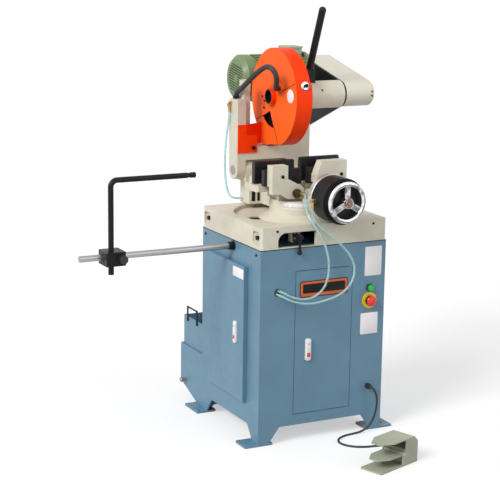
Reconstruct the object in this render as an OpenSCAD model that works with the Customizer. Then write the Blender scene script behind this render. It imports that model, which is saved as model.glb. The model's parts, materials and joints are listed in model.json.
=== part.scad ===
// Pull-down cold saw on a sheet metal stand, with a swivelling gear head, blade guards,
// an air and screw vice, a bar stop, a coolant tank and a foot switch.
// Lengths are millimetres. The origin is on the floor under the centre of the stand,
// X points to the operator's right, Y to the back and Z up.

/* [Stand] */
// Width of the stand
stand_w = 520; // [480:1:580]
// Depth of the stand
stand_d = 480; // [450:1:540]
// Height of the top of the stand
stand_h = 730; // [700:1:780]
// Height of the lower edge of the panels
skirt_z = 64; // [40:1:80]
// Sheet thickness of the stand and doors
sheet = 3; // [2:0.5:4]
// Width of a corner leg at the panels
leg_w = 88; // [70:1:110]
// Width of a corner leg at its foot
leg_toe = 46; // [30:1:60]
// Thickness of a foot plate
foot_t = 8; // [5:1:12]
// Long side of a foot plate
foot_l = 113; // [105:1:130]
// Short side of a foot plate
foot_w = 80; // [76:1:96]
// Radius of an anchor hole
anchor_r = 7; // [5:0.5:9]
// Anchor holes out from the sides of the stand
anchor_out = 23; // [18:1:28]
// Anchor holes in from the front and back of the stand
anchor_in = 35; // [28:1:40]

/* [Front door] */
// Width of the front door
door_w = 235; // [200:1:250]
// Top edge of the front door below the top of the stand
door_top = 88; // [84:1:160]
// Middle of the front door, across
door_x = 2; // [-10:1:10]
// Lower edge of the front door
door_z = 106; // [100:1:112]
// Gap around the front door
door_gap = 2; // [1.5:0.5:3]
// Depth of the door's turned edge
door_edge = 10; // [8:1:18]

/* [Side door] */
// Back edge of the side door from the back of the stand
side_back = 90; // [80:1:106]
// Top edge of the side door below the top of the stand
side_top = 76; // [60:1:130]
// Front edge of the side door from the front of the stand
side_front = 94; // [84:1:104]
// Lower edge of the side door
side_z = 146; // [132:1:157]
// How far the side door stands out
side_t = 18; // [14:1:24]

/* [Buttons and latches] */
// Radius of the emergency stop's collar
collar_r = 30; // [26:1:34]
// Radius of the emergency stop's mushroom
mushroom_r = 20; // [17:1:23]
// Radius of the start button
start_r = 11; // [9:1:13]
// Length of a door latch's grip
latch_l = 82; // [70:1:95]
// Width of a door latch's grip
latch_w = 22; // [18:1:26]
// Thickness of a door latch's grip
latch_t = 7; // [5:1:9]

/* [Table] */
// Height of the table casting
table_h = 81; // [74:1:90]
// Wall of the table casting
table_wall = 16; // [14:1:20]
// Radius of the round chip bowl
bowl_r = 224; // [214:1:230]
// Depth of the chip bowl
bowl_depth = 14; // [10:1:18]
// Thickness of the deck under the bowl
deck_t = 10; // [8:1:14]
// Width of the recess for the mitre lock
recess_w = 155; // [130:1:170]

/* [Swivel] */
// Swivel axis, front to back
swivel_y = -40; // [-45:1:-35]
// Radius of the graduated ring
ring_r = 110; // [100:1:118]
// Radius of the skirt under the ring
skirt_r = 150; // [140:1:158]
// Clearance between the graduated ring and the vice screw
ring_clear = 16; // [14:1:20]
// Radius of the fixed centre post
post_r = 58; // [50:1:66]
// Gap between the gear housing and the arm's front face
arm_gap = 1; // [0.5:0.5:6]
// Height of the head pivot above the vice bed
pivot_up = 15; // [10:1:22]
// Radius of the pivot shaft
pivot_r = 18; // [14:1:20]

/* [Vice] */
// Height of the vice bed above the vice screw
bed_up = 31; // [29:1:33]
// Half width of the vice bed
bed_x = 189; // [176:1:192]
// Thickness of the vice bed
bed_t = 24; // [20:1:28]
// Height of the vice jaws
jaw_h = 82; // [60:1:83]
// Thickness of a jaw plate
jaw_t = 22; // [16:1:23]
// Gap for the blade between the jaw plates
jaw_gap = 28; // [24:1:36]
// Jaw opening at rest
jaw_open = 35; // [34.5:0.5:36]
// Radius of the air cylinder
cyl_r = 84; // [70:1:86]
// Length of the air cylinder
cyl_l = 110; // [90:1:130]
// Vice screw axis, across
screw_x = 32; // [28:1:36]
// Clearance of the air cylinder over the table
cyl_clear = 4; // [3:0.5:6]
// Radius of the vice screw
screw_r = 10; // [8:0.5:11]
// Radius of the handwheel
wheel_r = 76; // [66:1:84]

/* [Head] */
// Spindle axis, front to back
spindle_y = 127; // [122:1:130]
// Clearance between the raised guards and the jaws
head_clear = 37; // [35:1:47]
// Radius of the saw blade
blade_r = 175; // [165:1:175]
// Thickness of the saw blade
blade_t = 2.5; // [2:0.1:3]
// Number of teeth
teeth = 90; // [40:2:140]
// Radius of the spindle
spindle_r = 16; // [13:0.5:18]
// Radius of the gear housing
housing_r = 52; // [50:1:54]
// Right end of the gear housing
housing_x = 255; // [247:1:262]
// Width of the belt cover
cover_w = 125; // [115:1:140]
// Clearance between the blade and the motor
motor_clear = 16; // [12:1:22]
// Height of the motor axis above the spindle
motor_rise = 40; // [34:1:46]
// Radius of the motor over its fins
motor_r = 92; // [84:1:96]
// Left end of the motor's fan cover
motor_x = -45; // [-60:1:-30]
// Length of the fan cover
fan_l = 52; // [44:1:60]
// Length of the pull-down handle
handle_l = 268; // [220:1:320]
// Radius of the pull-down handle
handle_r = 13.5; // [10:0.5:15]

/* [Guards] */
// Gap between the blade's teeth and the guard's rim
guard_gap = 6; // [4:0.5:8]
// Left face of the fixed guard
guard_left = -25; // [-28:1:-22]
// Right face of the fixed guard
guard_right = 35; // [34:1:38]
// Radius of the disc that carries the swinging guard
disc_r = 79.5; // [72:0.5:79.5]
// Radius of the hub hole
hub_r = 25; // [20:1:28]
// Thickness of the guards' sheet
guard_t = 3; // [2:0.5:3.5]

/* [Bar stop] */
// Radius of the stop rod
rod_r = 11.5; // [9:0.5:13]
// Length of the stop rod
rod_l = 660; // [560:1:760]
// Stop rod, front to back
rod_y = -22; // [-40:1:0]
// Stop rod below the top of the stand
rod_drop = 22; // [18:1:30]
// Radius of the stop arm
arm_r = 10; // [8:0.5:11]
// Height of the stop arm's upright
arm_h = 335; // [280:1:380]
// Reach of the stop arm
arm_l = 322; // [260:1:380]

/* [Coolant tank] */
// Width of the tank holder
bin_w = 200; // [170:1:240]
// Depth of the tank holder
bin_d = 198; // [170:1:220]
// Height of the tank holder's rim
bin_z = 223; // [200:1:245]
// Height of the tank's rim
tank_z = 339; // [310:1:370]

/* [Foot switch] */
// Length of the foot switch
pedal_l = 205; // [190:1:225]
// Width of the foot switch
pedal_w = 95; // [85:1:110]
// Height of the foot switch's hood
pedal_h = 98; // [90:1:110]
// Turn of the foot switch on the floor, in degrees
pedal_turn = 20; // [10:1:30]

/* [Hidden] */
$fn = 48;
// Overrun of every cut
over = 1;
// Radial running clearance of shafts and pins
run = 0.05;
// Gap between parts that pass each other
gap = 0.3;
// Corner radius of castings
cast_r = 12;

// Stand values
foot_out_share = 0.46;
half_w = stand_w / 2;
half_d = stand_d / 2;
anchor_x = half_w + anchor_out;
anchor_y = half_d - anchor_in;
leg_t = 5;
table_z = stand_h + table_h;
screw_z = table_z + cyl_r + cyl_clear;
bed_z = screw_z + bed_up;
pivot_z = bed_z + pivot_up;
guard_r = blade_r + guard_gap;
spindle_z = bed_z + jaw_h + guard_r + head_clear;
motor_y = spindle_y + blade_r + motor_r + motor_clear;
motor_z = spindle_z + motor_rise;
rod_z = stand_h - rod_drop;
bowl_z = table_z - bowl_depth;
drain_r = 30;
drain_pos = [-150, 8];
deck_z = bowl_z - deck_t;

// Door values
door_h = stand_h - door_top - door_z;
side_h = stand_h - side_top - side_z;
side_y = -half_d + side_front;
side_w = stand_d - side_front - side_back;
door_x0 = door_x - door_w / 2;
door_x1 = door_x + door_w / 2;
door_z1 = door_z + door_h;
hinge_r = 3;
knuckle_r = 4;
knuckle_l = 30;
hinge_in = 7;
lug_h = 9;
door_pin = [door_x1 - hinge_in, -half_d + knuckle_r];
side_y1 = side_y + side_w;
side_z1 = side_z + side_h;
side_lap = 14;
side_pin = [-half_w - knuckle_r - 2 * over, side_y1 + knuckle_r + over];
side_knuckle_share = 0.16;
latch_bore = 6;
latch_cam = 30;
cam_t = 4;
front_latch_share = 0.23;
side_latch_share = 0.2;
side_latch_z_share = 0.53;
latch_z_share = 0.48;
latch_drop_share = 0.7;
latch_round_share = 0.3;
front_latch_pos = [door_x0 + front_latch_share * door_w, door_z + latch_z_share * door_h];
side_latch_pos = [side_y + side_latch_share * side_w, side_z + side_latch_z_share * side_h];

// Button and gland values
estop_in = 66;
estop_drop = 224;
start_in = 65;
start_drop = 176;
estop_pos = [half_w - estop_in, stand_h - estop_drop];
start_pos = [half_w - start_in, stand_h - start_drop];
collar_t = 6;
stem_r = 8;
stem_l = 24;
estop_out = 26;
estop_head = 12;
estop_travel = 6;
start_out = 6;
start_travel = 4;
bezel_w = 4;
bezel_r = start_r + bezel_w;
gland_nut_share = 0.75;
dome_share = 1.2;
gland_in = 61;
gland_z = 175;
gland_pos = [half_w - gland_in, gland_z];
gland_r = 11;
gland_out = 22;
cable_r = 4;
tube_in = 72;
tube_drop = 152;
tube_hole = [-half_w + tube_in, stand_h - tube_drop];
tube_r = 4;

// Table values
recess_x = -113;
recess_margin = 4;
pocket = [52, 44];
pocket_depth = 9;
pocket_share = 0.42;
pocket_ys = [-pocket_share * stand_d, pocket_share * stand_d];
pocket_z = stand_h + table_h / 2;
bolt_r = 8;
bolt_out = 8;
lever_off = 4;
lever_out = 22;
lever_x = recess_x + lever_off;
lever_z = stand_h + table_h / 2;
lever_y = -half_d - lever_out;
lever_l = 62;
lever_r = 5;
lever_knob_r = 9;
lever_hub_r = 10;
lever_pin_r = 6;
lever_boss = [34, 30, 40];
lever_seat = -half_d + table_wall;

// Swivel values
ring_z = screw_z - screw_r - ring_clear;
ring_base = 12;
ring_low = table_z + ring_base;
neck_x = 44;
neck_up = 4;
neck_z = table_z + neck_up;
column_x = 97;
column_d = 76;
column_drop = 42;
column_z = pivot_z - column_drop;
lug_r = 36;

// Vice values
pedestal_x = 96;
pedestal_y1 = 30;
bed_y0 = -60;
bed_y1 = 45;
slot_x = 12;
slot_depth = 18;
slot_z = bed_z - slot_depth;
rail_d = 20;
rail_h = 24;
arm_t = 11;
arm_x = 62;
flange_x = 58;
flange_t = 12;
flange_y = -200;
flange_up = 58;
flange_z = screw_z + flange_up;
vice_floor = ring_z + gap;
apron_y0 = -120;
apron_y1 = -95;
fixed_face = -jaw_t;
moving_face = fixed_face - jaw_open;
plate_back = moving_face - jaw_t;
left_arm = [-155, -91];
right_arm = [28, 154];
left_up = 78;
right_up = 86;
left_top = bed_z + left_up;
right_top = bed_z + right_up;
boss_drop = 26;
boss_x = -55;
boss_pos = [boss_x, bed_z - boss_drop];
web_drop = 6;
web_up = 30;
web_share = 0.7;
bevel = [22, 34];
relief_x = 40;
relief_share = 0.62;
boss_r = 34;
tongue_x = 22;
tongue_z0 = vice_floor + arm_t + gap;
tongue_drop = 2;
tongue_z1 = slot_z - tongue_drop;
tongue_y1 = -10;
jaw_bar = [14, 6];
wheel_out = 24;
wheel_y = flange_y - cyl_l - wheel_out;
wheel_rim = 9;
wheel_hub_r = 20;
wheel_hub_l = 26;
spoke_w = 22;
spoke_t = 9;
screw_short = 8;
screw_end = tongue_y1 - screw_short;
cap_share = 0.5;
elbow_r = 8;
elbow_l = 16;
barb_r = 6;
barb_l = 26;
barb_x = screw_x - cyl_r - elbow_r - 2 * over;
barb_reach_share = 1.5;
fitting_share = 0.5;

// Head values
cheek_l = [-148, -112];
cheek_r = [60, 162];
cheek_d = 35;
pivot_y = spindle_y + housing_r + arm_gap + cheek_d;
cheek_drop = 15;
cheek_top_l = spindle_z - cheek_drop;
head_step = 34;
foot_up = 30;
plate_up = 55;
bar_low = 40;
bar_h = 50;
housing_wall = 6;
cheek_top_r = spindle_z + head_step;
plate_l = [-112, -86];
plate_d = [200, 240];
plate_top = spindle_z + plate_up;
bar_z = [pivot_z + bar_low, pivot_z + bar_low + bar_h];
head_face = pivot_y - cheek_d;
foot_x = [70, 150];
foot_z = [spindle_z - head_step, spindle_z + foot_up];
end_wall = 25;
housing_bore = housing_r - housing_wall;
reducer_x = [110, 200];
reducer_lap = 22;
input_r = 12;
plate_t = 8;
cover_x = housing_x + plate_t;
cover_t = 3;
cover_bevel = [7, 6];
nose_r = 50;
rise_angle = 13;
fall_angle = 22.7;
cover_fall_angle = 8;
half_turn_angle = 180;
tail_back = 90;
tail_y = [motor_y, motor_y + tail_back];
tail_top_back = 15;
tail_top = motor_y + tail_top_back;
tail_drop = 60;
tail_low_share = 0.46;
nose_steps = 20;
pulley_in = 30;
pulley_w = 32;
pulley_lip_share = 0.6;
pulley_x = [cover_x + pulley_in, cover_x + pulley_in + pulley_w];
belt_t = 6;
input_pulley_r = 40;
motor_pulley_r = 34;
groove = 3;
fin_h = 8;
motor_core = motor_r - fin_h;
fin_count = 28;
fin_t = 5;
flange_lap = 6;
flange_r = motor_r + flange_lap;
stator_r = 54;
rotor_r = 53.5;
shaft_r = 12;
shield_t = 14;
fan_in = 14;
fan_x = motor_x + fan_in;
fan_w = 22;
fan_hub_r = 22;
fan_blades = 7;
grille_slot = [4.5, 104];
grille_count = 11;
grille_pitch = 9.8;
grille_hub_r = 15;
grille_angle = 10;
cap_bevel = 16;
fan_run = 4;
fan_blade_r = motor_r - cap_bevel - cover_t - fan_run;
box_x = [165, 226];
box_half = 37;
box_up = 22;
box_y = [motor_y - box_half, motor_y + box_half];
box_z = motor_z + motor_r + box_up;
slot_oval_share = 0.85;
lid_t = 7;
lid_lap = 3;
handle_x = 120;
handle_lean = 21.5;
handle_block = [40, 44, 54];
handle_seat_share = 0.9;
tap_out = 6;
tap_back = 25;
tap_drop = 25;
tap_pos = [cheek_l[0] - tap_out, pivot_y + tap_back, cheek_top_l - tap_drop];
tap_r = 7;
tap_l = 26;
tap_stem_share = 0.8;
flange_disc_r = 40;
flange_disc_t = 13;
bolt_head_r = 15;
bolt_head_l = 20;
tooth_h = 4;

// Guard angles are measured up from the front
guard_top = 21;
pie_top = [22.5, -56.8];
pie_back = [89, -82.7];
pie_low = [-49.2, -184.9];
seam_back = [159, -112];
sector_r = 120;
sector_back = 125;
sector_foot = 50;
boss_l = 20;
boss_wall = 5;
swing_gap = 1.5;
swing_r = guard_r + swing_gap;
gullet_share = 0.2;
bracket_clear = 5;
bracket_top = -109;
bracket_z = [bar_z[1] + bracket_clear - spindle_z, bracket_top];
bracket_foot_x = -66;
bracket_foot_z = [-217, -150];
rear_y = 103;
bracket_x0 = cheek_l[0];
bracket_x1 = guard_left;
bracket_y = head_face - spindle_y;

// Bar stop values
socket_r = 15;
socket_l = 22;
socket_flange = [22, 4];
rod_in = 60;
clamp_in = 118;
clamp_front = 52;
stop_in = 10;
stop_front = 27;
stop_drop = 58;
knob_in = 22;
rod_x1 = -half_w + rod_in;
rod_x0 = rod_x1 - rod_l;
clamp_x = rod_x0 + clamp_in;
clamp_w = 72;
clamp_d = 78;
clamp_h = 50;
clamp_y0 = rod_y - clamp_front;
stop_x = clamp_x - stop_in;
stop_y = rod_y - stop_front;
stop_z0 = rod_z - stop_drop;
stop_bend = 24;
knob_x = clamp_x + knob_in;
tip_neck_share = 0.8;
tip_share = 0.6;
knob_r = 15;
knob_l = 20;
knob_stem = 5;
knob_reach = 32;
tip_l = 30;

// Tank values
bin_x0 = -half_w;
bin_y0 = half_d;
bin_low = [12, 68];
tank_in = 6;
tank_floor = 100;
handle_w = 84;
handle_wire = 3.5;
handle_up = 42;
handle_drop = 16;
bin_flat_share = 0.2;

// Foot switch values
pedal_pos = [-2, -676];
pedal_base = 6;
pedal_body = 66;
pedal_body_z = 58;
pedal_skin = 4;
pedal_hood_in = 22;
pedal_side_share = 0.33;
pedal_plate = 5;
pedal_bevel_share = 0.2;
pedal_nose_shares = [0.3, 0.7];
pedal_hood_share = 0.36;
pedal_toe_shares = [0.32, 0.68];
pedal_taper_share = 0.26;
barrel_share = 1.5;
pedal_hinge_z = 44;
pedal_pin_r = 4;
pedal_cable_y = 60;
pedal_cable_z = 30;
pedal_gland_r = 8;
pedal_gland_l = 12;

// Panel and pump values
panel_t = 6;
panel_y = [-150, 110];
panel_low = 300;
panel_drop = 110;
panel_z = [panel_low, stand_h - panel_drop];
relay = [46, 60, 56];
relay_shares = [0.4, 1.9];
relay_z_shares = [0.15625, 0.46875, 0.78125];
relay_zs = [for (s = relay_z_shares) panel_z[0] + s * (panel_z[1] - panel_z[0])];
pump_pos = [-60, 110];
pump_r = 52;
pump_h = 170;
pump_base_share = 0.4;
pump_body_share = 0.8;

// Points along the hand-laid routes of cords, tubes and the hose, with heights from what carries them
function lifted(points, z) = [for (p = points) p + [0, 0, z]];
function placed(points, at) = [for (p = points) p + at];
cable_upper = [[0, -22, 0], [0, -31, 0], [6, -40, -7], [14, -43, -25], [19, -41, -55], [18, -37, -90],
  [9, -32, -125], [-9, -28, -153], [-39, -27, -167]];
cable_lower = [[120, -268, 4], [82, -276, 4], [50, -295, 4], [32, -325, 4], [34, -358, 4], [56, -390, 4],
  [92, -410, 4], [132, -418, 4], [172, -426, 4]];
cable_tail = [[24.6, 101.4, -24], [48.6, 75.4, -17], [56.6, 45.4, -7], [44.6, 19.4, -1], [26.6, 9.7, 0],
  [13.2, 4.8, 0], [0, 0, 0]];
cable_reach = pedal_l + pedal_gland_l;
cable_end = [pedal_pos.x + cable_reach * cos(pedal_turn) - pedal_cable_y * sin(pedal_turn),
  pedal_pos.y + cable_reach * sin(pedal_turn) + pedal_cable_y * cos(pedal_turn), pedal_cable_z];
cable_route = concat(placed(cable_upper, [gland_pos.x, -half_d, gland_pos.y]), cable_lower,
  placed(cable_tail, cable_end));
jaw_tube_upper = [[-39, -144, -26], [-39, -153, -26], [-43, -166, -29], [-52, -181, -38], [-60, -199, -56],
  [-64, -220, -82]];
jaw_tube_edge = [[-58, -4, -108], [-44, -24, -140], [-24, -32, -178]];
jaw_tube_lower = [[180, -33, 132], [188, -33, 86], [184, -33, 36], [164, -33, -4], [126, -33, -28],
  [82, -32, -32], [42, -30, -21], [18, -27, -8], [4, -19, -1], [0, -10, 0], [0, 0, 0]];
jaw_tube_route = concat(lifted(jaw_tube_upper, bed_z), placed(jaw_tube_edge, [0, -half_d, bed_z]),
  placed(jaw_tube_lower, [tube_hole.x, -half_d, tube_hole.y]));
cylinder_tube_upper = [[0, 0, -26], [0, 0, -35], [1, -2, -51]];
cylinder_tube_edge = [[10, -23, -75], [32, -30, -99], [64, -37, -125], [104, -43, -161]];
cylinder_tube_lower = [[266, -45, 120], [286, -45, 78], [286, -45, 36], [266, -45, 0], [228, -45, -26],
  [178, -45, -40], [118, -44, -48], [66, -42, -42], [26, -37, -28], [4, -28, -16], [-5, -16, -12],
  [-6, -9, -12], [-6, 0, -12]];
cylinder_tube_route = concat(placed(cylinder_tube_upper, [barb_x, flange_y - cyl_l / 2, screw_z]),
  placed(cylinder_tube_edge, [barb_x, -half_d, screw_z]),
  placed(cylinder_tube_lower, [tube_hole.x, -half_d, tube_hole.y]));
hose_r = 10;
hose_foot = [[-130, 232, 0], [-130, 232, 6], [-130, 232, 12]];
hose_steps = [[-129, 222, 12], [-127, 190, 29], [-123, 152, 54], [-117, 114, 81], [-110, 82, 102],
  [-103, 58, 116], [-97, 38, 120], [-90, 20, 114], [-83, 10, 99], [-77, 11, 80], [-70, 23, 62], [-62, 41, 47],
  [-53, 61, 38], [-44, 75, 35], [-36, 75, 35], [-28, 75, 35]];
hose_route = concat(lifted(hose_foot, cheek_top_l), lifted(hose_steps, spindle_z));
coolant_r = 4;
coolant_upper = [[0, 0, 0], [0, 0, -12], [-2, 5, -49], [-6, 12, -104]];
coolant_lower = [[-162, 256, 189], [-162, 256, 129], [-159, 252, 79], [-153, 244, 43], [-143, 236, 27],
  [-124, 231, 21], [-97, 231, 21]];
coolant_route = concat(placed(coolant_upper, tap_pos - [0, 0, tap_l]), lifted(coolant_lower, table_z));

// Shape helpers
module box(lo, hi) translate(lo) cube(hi - lo);
module rod_x(r, y, z, x0, x1) translate([x0, y, z]) rotate([0, 90, 0]) cylinder(r = r, h = x1 - x0);
module rod_y(r, x, z, y0, y1) translate([x, y0, z]) rotate([-90, 0, 0]) cylinder(r = r, h = y1 - y0);
module rod_z(r, x, y, z0, z1) translate([x, y, z0]) cylinder(r = r, h = z1 - z0);
module slab_yz(x0, x1) translate([x0, 0, 0]) rotate([90, 0, 90]) linear_extrude(x1 - x0) children();
module slab_xz(y0, y1) translate([0, y1, 0]) rotate([90, 0, 0]) linear_extrude(y1 - y0) children();
module slab_xy(z0, z1) translate([0, 0, z0]) linear_extrude(z1 - z0) children();
module round_rect(lo, hi, r) {
  translate([lo.x + r, lo.y]) square([hi.x - lo.x - 2 * r, hi.y - lo.y]);
  translate([lo.x, lo.y + r]) square([hi.x - lo.x, hi.y - lo.y - 2 * r]);
  for (x = [lo.x + r, hi.x - r], y = [lo.y + r, hi.y - r]) translate([x, y]) circle(r);
}

// Sweep of a round tube along a smooth route
side_hint = [0.3, 1, 0.2];
function unit(v) = v / norm(v);
function spline(p, i, t) = let (a = p[max(i - 1, 0)], b = p[i], c = p[i + 1],
  d = p[min(i + 2, len(p) - 1)])
  (2 * b + (c - a) * t + (2 * a - 5 * b + 4 * c - d) * t * t
   + (3 * b - a - 3 * c + d) * t * t * t) / 2;
function smooth(p, n) = concat([for (i = [0 : len(p) - 2], k = [0 : n - 1]) spline(p, i, k / n)],
  [p[len(p) - 1]]);
function tangents(p) = [for (i = [0 : len(p) - 1]) unit(p[min(i + 1, len(p) - 1)] - p[max(i - 1, 0)])];
function carried(t, s, i) = i == len(t) ? [] : let (n = unit(s - (s * t[i]) * t[i]))
  concat([n], carried(t, n, i + 1));
module sweep(route, r, sides, n = 1) {
  p = smooth(route, n);
  t = tangents(p);
  s = carried(t, unit(cross(t[0], side_hint)), 0);
  last = len(p) - 1;
  ring = [for (i = [0 : last], k = [0 : sides - 1])
    p[i] + r * (cos(360 * k / sides) * s[i] + sin(360 * k / sides) * cross(t[i], s[i]))];
  skin = [for (i = [0 : last - 1], k = [0 : sides - 1]) let (m = (k + 1) % sides, a = i * sides)
    each [[a + k, a + m, a + sides + m], [a + k, a + sides + m, a + sides + k]]];
  caps = [for (k = [1 : sides - 2])
    each [[0, k + 1, k], [last * sides, last * sides + k, last * sides + k + 1]]];
  polyhedron(ring, [for (f = concat(skin, caps)) [f[2], f[1], f[0]]]);
}

// Stand
module leg_face(half) for (s = [-1, 1])
  polygon([[s * half, foot_t], [s * (half - leg_toe), foot_t], [s * (half - leg_w), skirt_z + over],
    [s * half, skirt_z + over]]);
module cabinet() color("steelblue") {
  difference() {
    union() {
      box([-half_w, -half_d, skirt_z], [half_w, half_d, stand_h]);
      for (y = [-half_d, half_d - leg_t]) slab_xz(y, y + leg_t) leg_face(half_w);
      for (x = [-half_w, half_w - leg_t]) slab_yz(x, x + leg_t) leg_face(half_d);
    }
    box([-half_w + sheet, -half_d + sheet, skirt_z + sheet],
      [half_w - sheet, half_d - sheet, stand_h - sheet]);
    box([door_x0 - door_gap, -half_d - over, door_z - door_gap],
      [door_x1 + door_gap, -half_d + sheet + over, door_z1 + door_gap]);
    box([-half_w - over, side_y + side_lap, side_z + side_lap],
      [-half_w + sheet + over, side_y1 - side_lap, side_z1 - side_lap]);
    for (p = [estop_pos, start_pos]) rod_y(stem_r + gap, p.x, p.y, -half_d - over, -half_d + sheet + over);
    rod_x(rod_r + over, rod_y, rod_z, -half_w - over, -half_w + sheet + over);
    rod_z(hinge_r, door_pin.x, door_pin.y, door_z - door_gap - lug_h, door_z1 + door_gap + lug_h);
  }
  for (z = [door_z - door_gap - lug_h, door_z1 + door_gap]) door_lug(z);
  for (z = [side_z, side_z1]) side_lug(z);
}
module door_lug(z) difference() {
  box([door_pin.x - 2 * knuckle_r, -half_d + sheet, z], [door_pin.x + 2 * knuckle_r, -half_d + 4 * knuckle_r,
    z + lug_h]);
  rod_z(hinge_r, door_pin.x, door_pin.y, z - over, z + lug_h + over);
}
side_knuckle_l = side_knuckle_share * side_h;
function side_lug_span(z) = z == side_z ? [z + side_knuckle_l / 2, z + side_knuckle_l]
  : [z - side_knuckle_l, z - side_knuckle_l / 2];
module side_lug(z) difference() {
  span = side_lug_span(z);
  union() {
    box([side_pin.x, side_pin.y - knuckle_r, span[0] + gap], [-half_w, side_pin.y + knuckle_r, span[1]]);
    rod_z(knuckle_r, side_pin.x, side_pin.y, span[0] + gap, span[1]);
  }
  rod_z(hinge_r, side_pin.x, side_pin.y, span[0] - over, span[1] + over);
}
module foot_plates() color("steelblue") for (sx = [-1, 1], sy = [-1, 1]) difference() {
  front = sy < 0;
  size = front ? [foot_l, foot_w] : [foot_w, foot_l + leg_t];
  inner = front ? [half_w + foot_out_share * foot_l - size.x, half_d - foot_w + over]
    : [half_w + foot_w / 2 - size.x, half_d - leg_w / 2 - over];
  lo = [sx > 0 ? inner.x : -inner.x - size.x, sy > 0 ? inner.y : -inner.y - size.y];
  slab_xy(0, foot_t) round_rect(lo, lo + size, foot_t / 2);
  rod_z(anchor_r, sx * anchor_x, sy * anchor_y, -over, foot_t + over);
}
module table() color("beige") {
  table_casting();
  difference() {
    box([lever_x - lever_boss.x / 2, lever_seat, deck_z - lever_boss.z],
      [lever_x + lever_boss.x / 2, lever_seat + lever_boss.y, deck_z + over]);
    rod_y(lever_pin_r + run, lever_x, lever_z, lever_seat - over, lever_seat + lever_boss.y + over);
  }
}
module table_casting() difference() {
  slab_xy(stand_h, table_z) round_rect([-half_w, -half_d], [half_w, half_d], cast_r);
  slab_xy(stand_h - over, deck_z)
    round_rect([-half_w + table_wall, -half_d + table_wall], [half_w - table_wall, half_d - table_wall],
      cast_r);
  rod_z(bowl_r, 0, 0, bowl_z, table_z + over);
  rod_z(drain_r, drain_pos.x, drain_pos.y, deck_z - over, bowl_z + over);
  box([recess_x - recess_w / 2, -half_d - over, stand_h + recess_margin],
    [recess_x + recess_w / 2, -half_d + table_wall + over, deck_z]);
  for (y = pocket_ys) slab_yz(-half_w - over, -half_w + pocket_depth)
    round_rect([y - pocket.x / 2, pocket_z - pocket.y / 2], [y + pocket.x / 2, pocket_z + pocket.y / 2],
      pocket_depth);
}
module table_bolts() color("black") for (y = pocket_ys)
  rod_x(bolt_r, y, pocket_z, -half_w + pocket_depth - bolt_out, -half_w + pocket_depth);
module mitre_lever() color("black") {
  rod_y(lever_pin_r, lever_x, lever_z, lever_y, lever_seat + lever_boss.y - over);
  rod_y(lever_hub_r, lever_x, lever_z, lever_y, lever_seat - gap);
  rod_z(lever_r, lever_x, lever_y + lever_hub_r, lever_z - lever_l, lever_z);
  translate([lever_x, lever_y + lever_hub_r, lever_z - lever_l + lever_r]) sphere(lever_knob_r);
}

// Doors, latches and hinge pins
module front_door() color("steelblue") {
  y1 = -half_d + sheet;
  difference() {
    box([door_x0, -half_d, door_z], [door_x1, y1, door_z1]);
    rod_y(latch_bore + run, front_latch_pos.x, front_latch_pos.y, -half_d - over, y1 + over);
    for (z = [door_z - over, door_z1 - knuckle_l])
      rod_z(hinge_r + run, door_pin.x, door_pin.y, z, z + knuckle_l + over);
  }
  for (z = [door_z, door_z1 - sheet])
    box([door_x0, -half_d, z], [door_pin.x - 2 * knuckle_r, -half_d + door_edge, z + sheet]);
  box([door_x0, -half_d, door_z], [door_x0 + sheet, -half_d + door_edge, door_z1]);
  for (z = [door_z, door_z1 - knuckle_l]) difference() {
    rod_z(knuckle_r, door_pin.x, door_pin.y, z, z + knuckle_l);
    rod_z(hinge_r + run, door_pin.x, door_pin.y, z - over, z + knuckle_l + over);
  }
}
module side_door() color("steelblue") {
  x0 = -half_w - side_t;
  x1 = -half_w - gap;
  difference() {
    box([x0, side_y, side_z], [x1, side_y1, side_z1]);
    box([x0 + sheet, side_y + sheet, side_z + sheet], [x1 + over, side_y1 - sheet, side_z1 - sheet]);
    rod_x(latch_bore + run, side_latch_pos.x, side_latch_pos.y, x0 - over, x0 + sheet + over);
  }
  for (z = [side_z, side_z1 - side_knuckle_l / 2]) difference() {
    union() {
      rod_z(knuckle_r, side_pin.x, side_pin.y, z, z + side_knuckle_l / 2);
      box([side_pin.x - knuckle_r, side_y1 - over, z], [side_pin.x, side_pin.y, z + side_knuckle_l / 2]);
    }
    rod_z(hinge_r + run, side_pin.x, side_pin.y, z - over, z + side_knuckle_l / 2 + over);
  }
}
module latch(proud, cam_side) {
  slab_xz(-proud - latch_t, -proud) round_rect([-latch_w / 2, -latch_l * latch_drop_share],
    [latch_w / 2, latch_l * (1 - latch_drop_share)], latch_w * latch_round_share);
  rod_y(latch_bore, 0, 0, -proud - over, sheet + cam_t + over);
  slab_xz(sheet + over, sheet + over + cam_t)
    round_rect([-latch_bore - (cam_side > 0 ? latch_cam : 0), -latch_bore],
      [latch_bore + (cam_side > 0 ? 0 : latch_cam), latch_bore], latch_bore / 2);
}
module front_latch() color("white") translate([front_latch_pos.x, -half_d, front_latch_pos.y])
  latch(gap, 1);
module side_latch() color("white")
  translate([-half_w - side_t, side_latch_pos.x, side_latch_pos.y]) rotate([0, 0, -90]) latch(gap, -1);
module hinge_pins() color("gray") {
  for (z = [door_z - door_gap - lug_h, door_z1 + door_gap + lug_h - knuckle_l])
    rod_z(hinge_r, door_pin.x, door_pin.y, z, z + knuckle_l);
  for (z = [side_z, side_z1 - side_knuckle_l])
    rod_z(hinge_r, side_pin.x, side_pin.y, z + over, z + side_knuckle_l - over);
  place_pedal() rod_y(pedal_pin_r, pedal_hinge.x, pedal_hinge.y, 0, pedal_w);
}

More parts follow.
